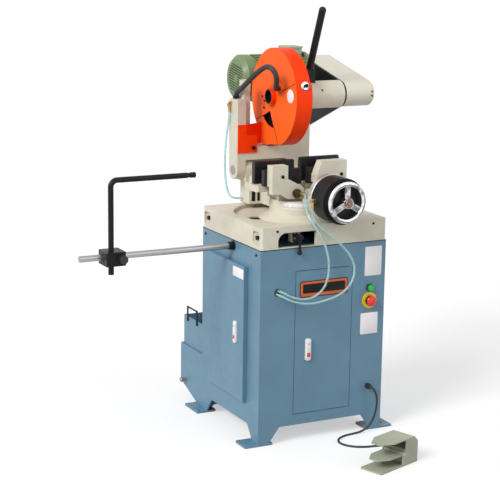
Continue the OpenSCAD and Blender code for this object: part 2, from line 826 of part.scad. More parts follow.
// Buttons, gland and inner fittings
module button_collars() color("gold") {
  difference() {
    rod_y(collar_r, estop_pos.x, estop_pos.y, -half_d - collar_t, -half_d);
    rod_y(stem_r + run, estop_pos.x, estop_pos.y, -half_d - collar_t - over, -half_d + over);
  }
  difference() {
    rod_y(bezel_r, start_pos.x, start_pos.y, -half_d - collar_t / 2, -half_d);
    rod_y(stem_r + run, start_pos.x, start_pos.y, -half_d - collar_t, -half_d + over);
  }
}
module estop_button() color("red") {
  y0 = -half_d - collar_t - estop_out;
  rod_y(stem_r, estop_pos.x, estop_pos.y, y0 + estop_head / 2, -half_d + stem_l);
  translate([estop_pos.x, y0, estop_pos.y]) rotate([-90, 0, 0]) rotate_extrude()
    intersection() {
      translate([0, mushroom_r * dome_share]) circle(mushroom_r * dome_share);
      square([mushroom_r, estop_head]);
    }
}
module start_button() color("green") {
  y1 = -half_d - collar_t / 2 - start_travel;
  rod_y(stem_r, start_pos.x, start_pos.y, y1 - start_out / 2, -half_d + stem_l);
  rod_y(start_r, start_pos.x, start_pos.y, y1 - start_out, y1);
}
module cable_gland() color("black") {
  rod_y(gland_r, gland_pos.x, gland_pos.y, -half_d - gland_out / 2, -half_d);
  rod_y(gland_r * gland_nut_share, gland_pos.x, gland_pos.y, -half_d - gland_out, -half_d);
}
module electric_panel() color("lightgray") {
  x1 = half_w - sheet;
  box([x1 - panel_t, panel_y[0], panel_z[0]], [x1, panel_y[1], panel_z[1]]);
  for (z = relay_zs, k = [0, 1])
    translate([x1 - panel_t - relay.x, panel_y[0] + relay.y * (relay_shares[0] + relay_shares[1] * k), z])
      cube(relay);
}
module coolant_pump() color("dimgray") {
  rod_z(pump_r, pump_pos.x, pump_pos.y, skirt_z + sheet, skirt_z + sheet + pump_h * pump_base_share);
  rod_z(pump_r * pump_body_share, pump_pos.x, pump_pos.y, skirt_z + sheet, skirt_z + sheet + pump_h);
}

// Foot switch
hood_z = pedal_h * (1 - pedal_bevel_share);
hood_x = pedal_l - pedal_h * pedal_bevel_share;
pedal_hinge = [pedal_l - pedal_body - 2 * pedal_pin_r, pedal_hinge_z];
module place_pedal() translate([pedal_pos.x, pedal_pos.y, 0]) rotate([0, 0, pedal_turn]) children();
module pedal_housing() color("darkseagreen") place_pedal() difference() {
  union() {
    slab_xy(0, pedal_base) round_rect([0, 0], [pedal_l, pedal_w], pedal_base);
    box([pedal_l - pedal_body, pedal_skin, 0], [pedal_l - pedal_skin, pedal_w - pedal_skin, pedal_body_z]);
    for (y = [0, pedal_w - pedal_skin]) slab_xz(y, y + pedal_skin) polygon([
      [pedal_l * (1 - pedal_side_share), 0], [pedal_l, 0], [pedal_l, hood_z], [hood_x, pedal_h],
      [pedal_l * (1 - pedal_side_share), pedal_h]]);
    for (y = [0, pedal_w - pedal_skin]) slab_xz(y, y + pedal_skin) polygon([
      [pedal_hinge.x - 3 * pedal_pin_r, 0], [pedal_l, 0], [pedal_l, pedal_hinge_z],
      [pedal_hinge.x - 2 * pedal_pin_r, pedal_hinge_z + 2 * pedal_pin_r]]);
    slab_xy(pedal_h - pedal_skin, pedal_h) polygon([[pedal_hood_in, pedal_w * pedal_nose_shares[0]],
      [pedal_hood_in, pedal_w * pedal_nose_shares[1]], [pedal_l * pedal_hood_share, pedal_w],
      [hood_x, pedal_w], [hood_x, 0], [pedal_l * pedal_hood_share, 0]]);
    box([pedal_l - pedal_skin, 0, 0], [pedal_l, pedal_w, hood_z]);
    slab_xz(0, pedal_w) polygon([[pedal_l, hood_z], [hood_x, pedal_h], [hood_x, pedal_h - pedal_skin],
      [pedal_l - pedal_skin, hood_z]]);
    rod_x(pedal_gland_r, pedal_cable_y, pedal_cable_z, pedal_l - over, pedal_l + pedal_gland_l);
  }
  rod_y(pedal_pin_r, pedal_hinge.x, pedal_hinge.y, -over, pedal_w + over);
}
module foot_pedal() color("darkseagreen") place_pedal() difference() {
  y0 = pedal_skin + gap;
  y1 = pedal_w - pedal_skin - gap;
  union() {
    slab_xy(pedal_hinge_z - pedal_plate, pedal_hinge_z) polygon([
      [pedal_hood_in / 2, pedal_w * pedal_toe_shares[0]],
      [pedal_hood_in / 2, pedal_w * pedal_toe_shares[1]], [pedal_l * pedal_taper_share, y1],
      [pedal_hinge.x, y1], [pedal_hinge.x, y0], [pedal_l * pedal_taper_share, y0]]);
    rod_y(pedal_pin_r * barrel_share, pedal_hinge.x, pedal_hinge.y, y0, y1);
  }
  rod_y(pedal_pin_r + run, pedal_hinge.x, pedal_hinge.y, -over, pedal_w + over);
}
module pedal_cable() color("black") sweep(cable_route, cable_r, 8, 1);

// Coolant tank
module bin_side(inset) polygon([[bin_y0 + inset, bin_low[0] + inset], 
  [bin_y0 + bin_d * bin_flat_share, bin_low[0] + inset],
  [bin_y0 + bin_d - inset, bin_low[1] + inset], [bin_y0 + bin_d - inset, bin_z + (inset > 0 ? over : 0)],
  [bin_y0 + inset, bin_z + (inset > 0 ? over : 0)]]);
module tank_holder() color("steelblue") {
  difference() {
    slab_yz(bin_x0, bin_x0 + bin_w) bin_side(0);
    slab_yz(bin_x0 + sheet, bin_x0 + bin_w - sheet) bin_side(sheet);
  }
  box([bin_x0, bin_y0, tank_floor - sheet], [bin_x0 + bin_w, bin_y0 + bin_d, tank_floor]);
}
module coolant_tank() color("steelblue") difference() {
  lo = [bin_x0 + tank_in, bin_y0 + tank_in];
  hi = [bin_x0 + bin_w - tank_in, bin_y0 + bin_d - 2 * tank_in];
  slab_xy(tank_floor, tank_z) round_rect(lo, hi, tank_in);
  slab_xy(tank_floor + sheet, tank_z + over)
    round_rect(lo + [sheet, sheet], hi - [sheet, sheet], tank_in / 2);
}
module tank_handle() color("gray") {
  x = bin_x0 + tank_in - handle_wire;
  y = bin_y0 + bin_d / 2;
  for (s = [-1, 1]) rod_z(handle_wire, x, y + s * handle_w / 2, tank_z - handle_drop, tank_z + handle_up);
  rod_y(handle_wire, x, tank_z + handle_up, y - handle_w / 2 - handle_wire, y + handle_w / 2 + handle_wire);
}

// Bar stop
module stop_socket() color("black") difference() {
  union() {
    rod_x(socket_r, rod_y, rod_z, -half_w - socket_l, -half_w);
    rod_x(socket_flange[0] - socket_flange[1], rod_y, rod_z, -half_w - socket_flange[1], -half_w);
  }
  rod_x(rod_r + run, rod_y, rod_z, -half_w - socket_l - over, -half_w + over);
}
module stop_rod() color("silver") rod_x(rod_r, rod_y, rod_z, rod_x0, rod_x1);
module stop_clamp() color("black") difference() {
  box([clamp_x - clamp_w / 2, clamp_y0, rod_z - clamp_h / 2],
    [clamp_x + clamp_w / 2, clamp_y0 + clamp_d, rod_z + clamp_h / 2]);
  rod_x(rod_r + run, rod_y, rod_z, clamp_x - clamp_w, clamp_x + clamp_w);
  rod_z(arm_r + run, stop_x, stop_y, rod_z - clamp_h, rod_z + clamp_h);
  rod_y(knob_stem + run, knob_x, rod_z, clamp_y0 - over, rod_y);
}
module stop_knob() color("black") {
  rod_y(knob_stem, knob_x, rod_z, clamp_y0 - knob_l, clamp_y0 + knob_reach);
  rod_y(knob_r, knob_x, rod_z, clamp_y0 - knob_l - gap, clamp_y0 - gap);
}
module stop_arm() color("black") {
  top = stop_z0 + arm_h;
  rod_z(arm_r, stop_x, stop_y, stop_z0, top - stop_bend);
  translate([stop_x + stop_bend, stop_y, top - stop_bend]) rotate([90, 0, 0])
    rotate([0, 0, 90]) rotate_extrude(angle = 90) translate([stop_bend, 0]) circle(arm_r);
  rod_x(arm_r, stop_y, top, stop_x + stop_bend, stop_x + arm_l - tip_l);
  rod_x(arm_r * tip_neck_share, stop_y, top, stop_x + arm_l - tip_l - over,
    stop_x + arm_l - tip_l * tip_share);
  rod_x(arm_r, stop_y, top, stop_x + arm_l - tip_l * tip_share - over, stop_x + arm_l);
}

// Swivel turret
module turret() color("beige") difference() {
  union() {
    translate([0, swivel_y, bowl_z + gap]) cylinder(r1 = skirt_r, r2 = ring_r, h = ring_low - bowl_z - gap);
    rod_z(ring_r, 0, swivel_y, ring_low - over, ring_z);
    box([-neck_x, swivel_y + post_r, neck_z], [neck_x, pivot_y, ring_z]);
    box([-column_x, pivot_y - column_d / 2, neck_z], [column_x, pivot_y + column_d / 2, column_z]);
    box([cheek_l[1] + over, pivot_y - lug_r, column_z - over],
      [cheek_r[0] - over, pivot_y + lug_r, pivot_z]);
    rod_x(lug_r, pivot_y, pivot_z, cheek_l[1] + over, cheek_r[0] - over);
  }
  rod_z(post_r + run, 0, swivel_y, bowl_z - over, ring_z + over);
  rod_x(pivot_r, pivot_y, pivot_z, cheek_l[0], cheek_r[1]);
}
module pivot_shaft() color("silver")
  rod_x(pivot_r, pivot_y, pivot_z, cheek_l[0] - 2 * over, cheek_r[1] + 2 * over);

// Vice
module vice_bed() color("beige") {
  difference() {
    union() {
      rod_z(post_r, 0, swivel_y, bowl_z, vice_floor + over);
      box([-pedestal_x, bed_y0, vice_floor], [pedestal_x, pedestal_y1, bed_z - bed_t + over]);
      slab_xy(bed_z - bed_t, bed_z) round_rect([-bed_x, bed_y0], [bed_x, bed_y1], cast_r);
      for (s = [-1, 1]) box([s > 0 ? jaw_gap / 2 : -bed_x + cast_r, 0, bed_z - over],
        [s > 0 ? bed_x - cast_r : -jaw_gap / 2, rail_d, bed_z + rail_h]);
    }
    box([-slot_x, bed_y0 - over, slot_z], [slot_x, bed_y1 + over, bed_z + over]);
    box([screw_x - tongue_x - gap, bed_y0 - over, tongue_z0 - gap],
      [screw_x + tongue_x + gap, tongue_y1 + jaw_open, tongue_z1 + gap]);
  }
  box([screw_x - arm_x, flange_y, vice_floor], [screw_x + arm_x, bed_y0 + over, vice_floor + arm_t]);
  difference() {
    box([screw_x - flange_x, flange_y, vice_floor], [screw_x + flange_x, flange_y + flange_t, flange_z]);
    rod_y(screw_r + run, screw_x, screw_z, flange_y - over, flange_y + flange_t + over);
  }
}
module fixed_jaws() color("black") {
  for (s = [-1, 1]) box([s > 0 ? jaw_gap / 2 : -bed_x + cast_r, fixed_face, bed_z],
    [s > 0 ? bed_x - cast_r : -jaw_gap / 2, 0, bed_z + jaw_h]);
  box([jaw_gap / 2, fixed_face / 2 - jaw_bar[0] / 2, bed_z + jaw_h],
    [bed_x - cast_r, fixed_face / 2 + jaw_bar[0] / 2, bed_z + jaw_h + jaw_bar[1]]);
}
module air_cylinder() color("black") difference() {
  union() {
    rod_y(cyl_r, screw_x, screw_z, flange_y - cyl_l, flange_y);
    rod_y(cyl_r * cap_share, screw_x, screw_z, flange_y - cyl_l - cast_r / 2, flange_y);
  }
  rod_y(screw_r + run, screw_x, screw_z, flange_y - cyl_l - cast_r, flange_y + over);
}
module left_jaw_face() {
  translate([left_arm[0], boss_pos.y]) square([left_arm[1] - left_arm[0], left_top - boss_pos.y]);
  polygon([[left_arm[0], bed_z - web_drop], [left_arm[1], bed_z + web_up],
    [boss_pos.x + boss_r * web_share, boss_pos.y + boss_r * web_share],
    [boss_pos.x + boss_r, tongue_z0], [boss_pos.x - boss_r, tongue_z0]]);
  translate(boss_pos) intersection() {
    circle(boss_r);
    translate([-boss_r, tongue_z0 - boss_pos.y]) square(2 * boss_r);
  }
}
module right_jaw_face() difference() {
  polygon([[right_arm[0], bed_z + web_drop], [right_arm[1], bed_z + web_drop], [right_arm[1], right_top],
    [right_arm[0] + bevel[0], right_top], [right_arm[0], bed_z + bevel[1]]]);
  translate([screw_x + relief_x, screw_z]) circle(cyl_r * relief_share);
}
module vice_slide() color("beige") difference() {
  union() {
    slab_xz(apron_y0, apron_y1) left_jaw_face();
    box([left_arm[0], apron_y0, bed_z + gap], [left_arm[1], plate_back, left_top]);
    slab_xz(apron_y0, plate_back) right_jaw_face();
    box([boss_pos.x, apron_y0, tongue_z0], [screw_x + tongue_x, apron_y1, tongue_z1]);
    box([screw_x + tongue_x - cast_r, apron_y0, tongue_z0],
      [right_arm[1] - cast_r, apron_y1, bed_z + 2 * cast_r]);
    box([screw_x - tongue_x, apron_y1 - over, tongue_z0], [screw_x + tongue_x, tongue_y1, tongue_z1]);
  }
  box([-slot_x, apron_y0 - over, tongue_z1], [slot_x, plate_back + over, right_top + over]);
  rod_y(screw_r + run, screw_x, screw_z, apron_y0 - over, tongue_y1 + over);
}
module jaw_plates() color("black") for (s = [-1, 1])
  box([s > 0 ? jaw_gap / 2 : left_arm[0] - cast_r, plate_back, bed_z + gap],
    [s > 0 ? right_arm[1] : -jaw_gap / 2, moving_face, bed_z + jaw_h - 2 * cast_r]);
module vice_screw() color("silver")
  rod_y(screw_r, screw_x, screw_z, wheel_y - wheel_hub_l / 2, screw_end);
module handwheel() color("lightgray") translate([screw_x, wheel_y, screw_z]) rotate([90, 0, 0])
  difference() {
  union() {
    rotate_extrude() translate([wheel_r - wheel_rim, 0]) circle(wheel_rim);
    rod_z(wheel_hub_r, 0, 0, -wheel_hub_l / 2, wheel_hub_l / 2);
    for (a = [90, 210, 330]) rotate([0, 0, a])
      box([0, -spoke_w / 2, -spoke_t / 2], [wheel_r - wheel_rim, spoke_w / 2, spoke_t / 2]);
  }
  rod_z(screw_r, 0, 0, -wheel_hub_l, wheel_hub_l);
}
module air_fitting() color("goldenrod") {
  rod_x(elbow_r, flange_y - cyl_l / 2, screw_z, barb_x - elbow_r, screw_x - cyl_r);
  rod_z(barb_r, barb_x, flange_y - cyl_l / 2, screw_z - barb_l, screw_z);
}
module jaw_fitting() color("goldenrod") {
  rod_y(boss_r * fitting_share, boss_pos.x, boss_pos.y, apron_y0 - elbow_l / 2, apron_y0);
  rod_y(elbow_r, boss_pos.x + elbow_l, boss_pos.y, apron_y0 - barb_reach_share * elbow_l, apron_y0);
}
module air_tube_jaw() color("lightcyan") sweep(jaw_tube_route, tube_r, 8, 1);
module air_tube_cylinder() color("lightcyan") sweep(cylinder_tube_route, tube_r, 8, 1);

// Head arm and gear housing
module cheek(x, top) {
  box([x[0], pivot_y - cheek_d, pivot_z], [x[1], pivot_y + cheek_d, top]);
  rod_x(cheek_d, pivot_y, pivot_z, x[0], x[1]);
}
module head_arm() color("beige") difference() {
  union() {
    cheek(cheek_l, cheek_top_l);
    cheek(cheek_r, cheek_top_r);
    box([cheek_l[1] - over, pivot_y - cheek_d, bar_z[0]], [cheek_r[0] + over, pivot_y + cheek_d, bar_z[1]]);
    box([plate_l[0] - over, plate_d[0], bar_z[0]], [plate_l[1], plate_d[1], plate_top]);
  }
  rod_x(pivot_r + run, pivot_y, pivot_z, cheek_l[0] - over, cheek_r[1] + over);
}
module gear_housing() color("beige") difference() {
  union() {
    rod_x(housing_r, spindle_y, spindle_z, guard_right, housing_x);
    box([foot_x[0], spindle_y, foot_z[0]], [foot_x[1], head_face, foot_z[1]]);
  }
  rod_x(housing_bore, spindle_y, spindle_z, guard_right + end_wall, housing_x + over);
  rod_x(spindle_r + run, spindle_y, spindle_z, guard_right - over, housing_x);
}
module gear_reducer() color("dimgray") difference() {
  rod_x(housing_bore, spindle_y, spindle_z, reducer_x[0], reducer_x[1]);
  rod_x(spindle_r + run, spindle_y, spindle_z, reducer_x[0] - over, reducer_x[0] + reducer_lap + over);
  rod_x(input_r + run, spindle_y, spindle_z, reducer_x[1] - reducer_lap - over, reducer_x[1] + over);
}
function nose(r, a) = [spindle_y - r * sin(a), spindle_z + r * cos(a)];
module cover_shape(inset, low_angle) {
  r = nose_r - inset;
  top = nose(r, rise_angle);
  low = nose(r, half_turn_angle - low_angle);
  back = tail_y[1] - inset;
  high_z = top.y + tan(rise_angle) * (tail_top - top.x);
  low_z = low.y - tan(low_angle) * (tail_y[0] - low.x);
  span_angle = half_turn_angle - low_angle - rise_angle;
  polygon(concat([for (k = [0 : nose_steps]) nose(r, rise_angle + span_angle * k / nose_steps)],
    [[tail_y[0], low_z], [back, low_z + tail_low_share * (high_z - low_z)], [back, high_z - tail_drop],
      [tail_top, high_z]]));
}
module back_plate() color("black") difference() {
  slab_yz(housing_x, housing_x + plate_t) cover_shape(0, fall_angle);
  rod_x(input_r + over, spindle_y, spindle_z, housing_x - over, cover_x + over);
  rod_x(shaft_r + over, motor_y, motor_z, housing_x - over, cover_x + over);
}
module belt_cover() color("beige") difference() {
  hull() {
    slab_yz(cover_x, cover_x + cover_w - cover_bevel.x) cover_shape(0, cover_fall_angle);
    slab_yz(cover_x, cover_x + cover_w) cover_shape(cover_bevel.y, cover_fall_angle);
  }
  slab_yz(cover_x - over, cover_x + cover_w - cover_bevel.x - cover_t) cover_shape(cover_t, cover_fall_angle);
}
module belt_loop(extra) hull() {
  translate([spindle_y, spindle_z]) circle(input_pulley_r + extra, $fn = 32);
  translate([motor_y, motor_z]) circle(motor_pulley_r + extra, $fn = 32);
}
module drive_belt() color("dimgray") slab_yz(pulley_x[0] + groove, pulley_x[1] - groove) difference() {
  belt_loop(gap + belt_t);
  belt_loop(2 * gap);
}
module pulley(r, y, z) {
  rod_x(r, y, z, pulley_x[0], pulley_x[1]);
  for (x = [pulley_x[0], pulley_x[1] - groove + gap])
    rod_x(r + belt_t * pulley_lip_share, y, z, x, x + groove - gap);
}
module input_shaft() color("gray") {
  rod_x(input_r, spindle_y, spindle_z, reducer_x[1] - reducer_lap, pulley_x[1]);
  pulley(input_pulley_r, spindle_y, spindle_z);
}
module pull_handle() color("black") {
  z0 = spindle_z + housing_r * handle_seat_share;
  difference() {
    box([handle_x - handle_block.x / 2, spindle_y - handle_block.y / 2, z0],
      [handle_x + handle_block.x / 2, spindle_y + handle_block.y / 2, z0 + handle_block.z]);
    rod_x(housing_r, spindle_y, spindle_z, guard_right, housing_x);
  }
  translate([handle_x, spindle_y, z0 + handle_block.z / 2]) rotate([handle_lean, 0, 0]) {
    cylinder(r = handle_r, h = handle_l);
    translate([0, 0, handle_l]) sphere(handle_r);
  }
}

// Motor
body_x = motor_x + fan_l;
module motor_body() color("darkseagreen") difference() {
  union() {
    rod_x(motor_core, motor_y, motor_z, body_x, housing_x);
    rod_x(flange_r, motor_y, motor_z, housing_x - shield_t, housing_x);
    translate([0, motor_y, motor_z]) for (k = [0 : fin_count - 1])
      rotate([360 * (k + 0.5) / fin_count, 0, 0])
      box([body_x + shield_t, -fin_t / 2, 0], [housing_x - 2 * shield_t, fin_t / 2, motor_r]);
    box([box_x[0], box_y[0], motor_z], [box_x[1], box_y[1], motor_z + motor_r]);
  }
  rod_x(stator_r, motor_y, motor_z, body_x + shield_t, housing_x - shield_t);
  rod_x(shaft_r + run, motor_y, motor_z, body_x - over, housing_x + over);
}
module fan_cover() color("darkseagreen") difference() {
  union() {
    rod_x(motor_r, motor_y, motor_z, motor_x + cap_bevel, body_x);
    translate([motor_x, motor_y, motor_z]) rotate([0, 90, 0])
      cylinder(r1 = motor_r - cap_bevel, r2 = motor_r, h = cap_bevel + run);
  }
  rod_x(motor_r - cap_bevel - cover_t, motor_y, motor_z, motor_x + cover_t, body_x + over);
  translate([0, motor_y, motor_z]) rotate([grille_angle, 0, 0]) difference() {
    for (k = [0 : grille_count - 1]) let (z = (k - (grille_count - 1) / 2) * grille_pitch)
      box([motor_x - over, -half_slot(z), z - grille_slot[0] / 2],
        [motor_x + cover_t + over, half_slot(z), z + grille_slot[0] / 2]);
    rod_x(grille_hub_r, 0, 0, motor_x - 2 * over, motor_x + cover_t + 2 * over);
  }
}
function half_slot(z) = sqrt(pow(grille_slot[1] / 2 + cap_bevel / 2, 2) - z * z * slot_oval_share);
module terminal_box() color("darkseagreen") {
  z0 = motor_z + motor_r;
  box([box_x[0], box_y[0], z0], [box_x[1], box_y[1], box_z]);
  box([box_x[0] - lid_lap, box_y[0] - lid_lap, box_z],
    [box_x[1] + lid_lap, box_y[1] + lid_lap, box_z + lid_t]);
}
module motor_rotor() color("gray") {
  rod_x(shaft_r, motor_y, motor_z, fan_x + over, pulley_x[1]);
  rod_x(rotor_r, motor_y, motor_z, body_x + 2 * shield_t, housing_x - 2 * shield_t);
  rod_x(fan_hub_r, motor_y, motor_z, fan_x, fan_x + fan_w);
  translate([0, motor_y, motor_z]) for (k = [0 : fan_blades - 1]) rotate([360 * k / fan_blades, 0, 0])
    box([fan_x + over, -cover_t / 2, shaft_r + cover_t], [fan_x + fan_w - over, cover_t / 2, fan_blade_r]);
  pulley(motor_pulley_r, motor_y, motor_z);
}

// Guards, drawn about the spindle
function ray(a) = [-cos(a), sin(a)];
far = 2 * guard_r;
module at_spindle(x0, x1) translate([0, spindle_y, spindle_z]) slab_yz(x0, x1) children();
low_end = pie_top + far * (pie_low - pie_top) / norm(pie_low - pie_top);
seam_end = pie_back + far * (seam_back - pie_back) / norm(seam_back - pie_back);
module pie() polygon([pie_top, pie_back, low_end]);
module upper_wedge() polygon([[0, 0], far * ray(guard_top), [-far, far], [far, far], seam_end,
  pie_back, pie_top]);
module upper_face(hole) difference() {
  union() {
    intersection() {
      circle(guard_r);
      upper_wedge();
    }
    circle(disc_r);
  }
  pie();
  circle(hole);
}
module disc_face(hole) difference() {
  circle(disc_r);
  pie();
  circle(hole);
}
module upper_guard() color("orangered") {
  at_spindle(guard_left, guard_left + guard_t) upper_face(hub_r);
  at_spindle(guard_left - guard_t, guard_left) disc_face(hub_r);
  at_spindle(guard_left - guard_t - boss_l, guard_left) difference() {
    circle(hub_r + boss_wall);
    circle(hub_r);
  }
  at_spindle(guard_right - guard_t, guard_right) upper_face(hub_r);
  at_spindle(guard_right, guard_right + guard_t) disc_face(housing_r);
  at_spindle(guard_left, guard_right) intersection() {
    difference() {
      circle(guard_r);
      circle(guard_r - guard_t);
    }
    upper_wedge();
  }
}
module sector_wedge() polygon([pie_top + [swing_gap, 0], pie_back - [0, swing_gap],
  seam_end - [0, swing_gap], [far, -far], low_end + [swing_gap, 0]]);
module sector_outline(inset) {
  circle(guard_r - inset);
  polygon([[0, -sector_r], [sector_back - inset, -sector_r], [sector_back - inset, bracket_z[0] + inset],
    [sector_foot, bracket_z[0] + inset], [0, -guard_r + inset + over]]);
}
module sector_face() intersection() {
  difference() {
    sector_outline(0);
    circle(sector_r);
  }
  sector_wedge();
}
module sector_rim() intersection() {
  difference() {
    sector_outline(0);
    sector_outline(guard_t);
  }
  sector_wedge();
}
module rear_guard() color("orangered") {
  at_spindle(guard_left, guard_left + guard_t) sector_face();
  at_spindle(guard_right - guard_t, guard_right) sector_face();
  at_spindle(guard_left, guard_right) sector_rim();
  translate([0, spindle_y, spindle_z]) {
    slab_xy(bracket_z[0], bracket_z[1]) polygon([[bracket_x0, bracket_y - guard_t],
      [cheek_l[1], bracket_y - guard_t], [bracket_x1 + guard_t, rear_y - guard_t],
      [bracket_x1 + guard_t, rear_y], [cheek_l[1], bracket_y], [bracket_x0, bracket_y]]);
    box([bracket_x0, bracket_y - guard_t, bracket_foot_z[0]], [bracket_foot_x, bracket_y, bracket_foot_z[1]]);
  }
}
module swing_face(inner) intersection() {
  difference() {
    circle(swing_r + guard_t);
    circle(inner);
  }
  polygon([[0, 0], pie_top, low_end, [-far, -far], far * ray(guard_top)]);
}
module front_guard() color("orangered") {
  x0 = guard_left - guard_t;
  x1 = guard_right + guard_t;
  at_spindle(x0, guard_left - gap) swing_face(disc_r + run);
  at_spindle(guard_right + gap, x1) swing_face(disc_r + run);
  at_spindle(x0, x1) swing_face(swing_r);
}

// Spindle and blade
module spindle() color("silver") {
  rod_x(spindle_r, spindle_y, spindle_z, -flange_disc_t, reducer_x[0] + reducer_lap);
  for (x = [blade_t / 2, -flange_disc_t - blade_t / 2])
    rod_x(flange_disc_r, spindle_y, spindle_z, x, x + flange_disc_t);
  rod_x(bolt_head_r, spindle_y, spindle_z, -flange_disc_t - blade_t / 2 - bolt_head_l, -flange_disc_t);
}
module saw_blade() color("gainsboro") difference() {
  at_spindle(-blade_t / 2, blade_t / 2) polygon([for (k = [0 : teeth - 1]) let (a = 360 / teeth)
    each [blade_r * [cos(k * a), sin(k * a)],
      (blade_r - tooth_h) * [cos((k + gullet_share) * a), sin((k + gullet_share) * a)]]]);
  rod_x(spindle_r, spindle_y, spindle_z, -blade_t, blade_t);
}

// Coolant hose, tap and tube
module coolant_hose() color("black") sweep(hose_route, hose_r, 12, 2);
module coolant_tap() color("goldenrod") {
  rod_x(tap_r, tap_pos.y, tap_pos.z, tap_pos.x - tap_r, cheek_l[0]);
  rod_z(tap_r * tap_stem_share, tap_pos.x, tap_pos.y, tap_pos.z - tap_l, tap_pos.z);
}
module coolant_tube() color("lightcyan") sweep(coolant_route, coolant_r, 8, 1);

cabinet();
foot_plates();
table();
table_bolts();
vice_bed();
fixed_jaws();
air_cylinder();
air_fitting();
air_tube_jaw();
air_tube_cylinder();
cable_gland();
pedal_cable();
pedal_housing();
stop_socket();
tank_holder();
button_collars();
electric_panel();
coolant_pump();
hinge_pins();
front_door();
front_latch();
side_door();
side_latch();
start_button();
estop_button();
foot_pedal();
coolant_tank();
tank_handle();
stop_rod();
stop_clamp();
stop_knob();
stop_arm();
turret();
pivot_shaft();
mitre_lever();
vice_slide();
jaw_plates();
jaw_fitting();
vice_screw();
handwheel();
head_arm();
gear_housing();
gear_reducer();
back_plate();
belt_cover();
motor_body();
fan_cover();
terminal_box();
upper_guard();
rear_guard();
pull_handle();
coolant_hose();
coolant_tap();
coolant_tube();
drive_belt();
front_guard();
spindle();
saw_blade();
input_shaft();
motor_rotor();
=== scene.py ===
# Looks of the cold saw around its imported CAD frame, in millimetres but for camera, lamps and floor
import json
import math

import bmesh
import bpy
from mathutils import Matrix, Vector


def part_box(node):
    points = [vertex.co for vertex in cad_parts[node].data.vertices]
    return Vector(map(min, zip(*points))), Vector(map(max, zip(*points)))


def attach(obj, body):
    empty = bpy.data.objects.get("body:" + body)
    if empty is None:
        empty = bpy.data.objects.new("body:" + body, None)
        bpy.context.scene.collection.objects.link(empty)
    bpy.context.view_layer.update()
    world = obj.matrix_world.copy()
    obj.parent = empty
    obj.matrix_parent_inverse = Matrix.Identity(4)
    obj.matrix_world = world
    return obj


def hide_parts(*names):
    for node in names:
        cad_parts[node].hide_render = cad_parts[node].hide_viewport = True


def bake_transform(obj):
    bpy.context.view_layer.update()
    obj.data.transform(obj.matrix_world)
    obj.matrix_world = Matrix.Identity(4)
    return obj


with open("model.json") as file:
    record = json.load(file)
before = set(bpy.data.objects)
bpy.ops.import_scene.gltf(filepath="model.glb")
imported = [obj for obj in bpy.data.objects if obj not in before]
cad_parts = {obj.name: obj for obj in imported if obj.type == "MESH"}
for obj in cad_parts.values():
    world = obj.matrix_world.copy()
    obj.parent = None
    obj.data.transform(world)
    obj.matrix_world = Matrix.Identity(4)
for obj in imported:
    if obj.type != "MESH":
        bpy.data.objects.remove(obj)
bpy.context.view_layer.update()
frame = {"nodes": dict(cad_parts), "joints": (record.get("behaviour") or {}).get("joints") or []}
nodes = frame["nodes"]
MM = 0.001


def in_mm(metres):
    return Vector([round(v / MM, 3) for v in metres])


def lowest(node):
    """Lowest corner of a CAD node."""
    return in_mm(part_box(node)[0])


def highest(node):
    """Highest corner of a CAD node."""
    return in_mm(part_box(node)[1])


# Places that the frame gives, and ways to face
PIVOT = {joint["name"]: in_mm(joint["pos_m"]) for joint in frame["joints"] if joint.get("pos_m")}
LEFT, FRONT, STAND_TOP = lowest("table")
SIDE_DOOR = lowest("side_door").x
SPINDLE_Y, SPINDLE_Z = PIVOT["spindle_spin"].yz
SCREW_X, SCREW_Z = PIVOT["vice_screw_turn"].xz
LEFTWARD, RIGHTWARD, FORWARD, UPWARD = (-1, 0, 0), (1, 0, 0), (0, -1, 0), (0, 0, 1)

# Camera, fitted to the stand's edges in a 500 by 500 picture
FOCAL_PX, PICTURE_PX, SENSOR_MM = 1508, 500, 36
CAMERA_PLACE = Vector((-2.668, -4.861, 1.870))
AZIMUTH, ELEVATION, ROLL = (math.radians(a) for a in (-27.1, 12.3, 0.85))


def make_camera():
    back = Vector((math.sin(AZIMUTH) * math.cos(ELEVATION),
                   -math.cos(AZIMUTH) * math.cos(ELEVATION), math.sin(ELEVATION)))
    right = Vector((math.cos(AZIMUTH), math.sin(AZIMUTH), 0))
    up = back.cross(right)
    c, s = math.cos(ROLL), math.sin(ROLL)
    axes = Matrix((c * right + s * up, c * up - s * right, back)).transposed()
    data = bpy.data.cameras.new("photo_camera")
    data.sensor_width = SENSOR_MM
    data.lens = FOCAL_PX / PICTURE_PX * SENSOR_MM
    camera = bpy.data.objects.new("photo_camera", data)
    camera.matrix_world = Matrix.Translation(CAMERA_PLACE) @ axes.to_4x4()
    bpy.context.scene.collection.objects.link(camera)
    bpy.context.scene.camera = camera


make_camera()

# Materials: the range of a noise that counts, and how fine noises and bevels are
NOISE_FROM, NOISE_TO = 0.3, 0.7
TONE_DETAIL, GLOSS_DETAIL, BEVEL_SAMPLES = 5, 6, 4
# How squarely a face looks along an axis where the painted light of a flat face starts and is full
PAINTED_LIGHT_FROM, PAINTED_LIGHT_TO = 0.85, 0.97
# Half the width of the change from one colour to another
SPLIT_WIDTH = 0.6
# Colour sockets of a mix node
MIX_A, MIX_B, MIX_RESULT = 6, 7, 2
# Painted reflection for polished metal: the way that its painted bands of light follow, and how much these
# drift
MIRROR_WAY, MIRROR_SCALE, MIRROR_DETAIL, MIRROR_DRIFT = (-0.22, 0.0, 0.36), 55, 1, (0.42, 0.58)
# Place and brightness of each band of painted reflection
CHROME_REFLECTION_BANDS = ((0.0, 0.30), (0.28, 0.62), (0.40, 0.10), (0.47, 0.22), (0.55, 0.62), (0.66, 0.92),
                (1.0, 0.80))
COOL_TINT = 1.02
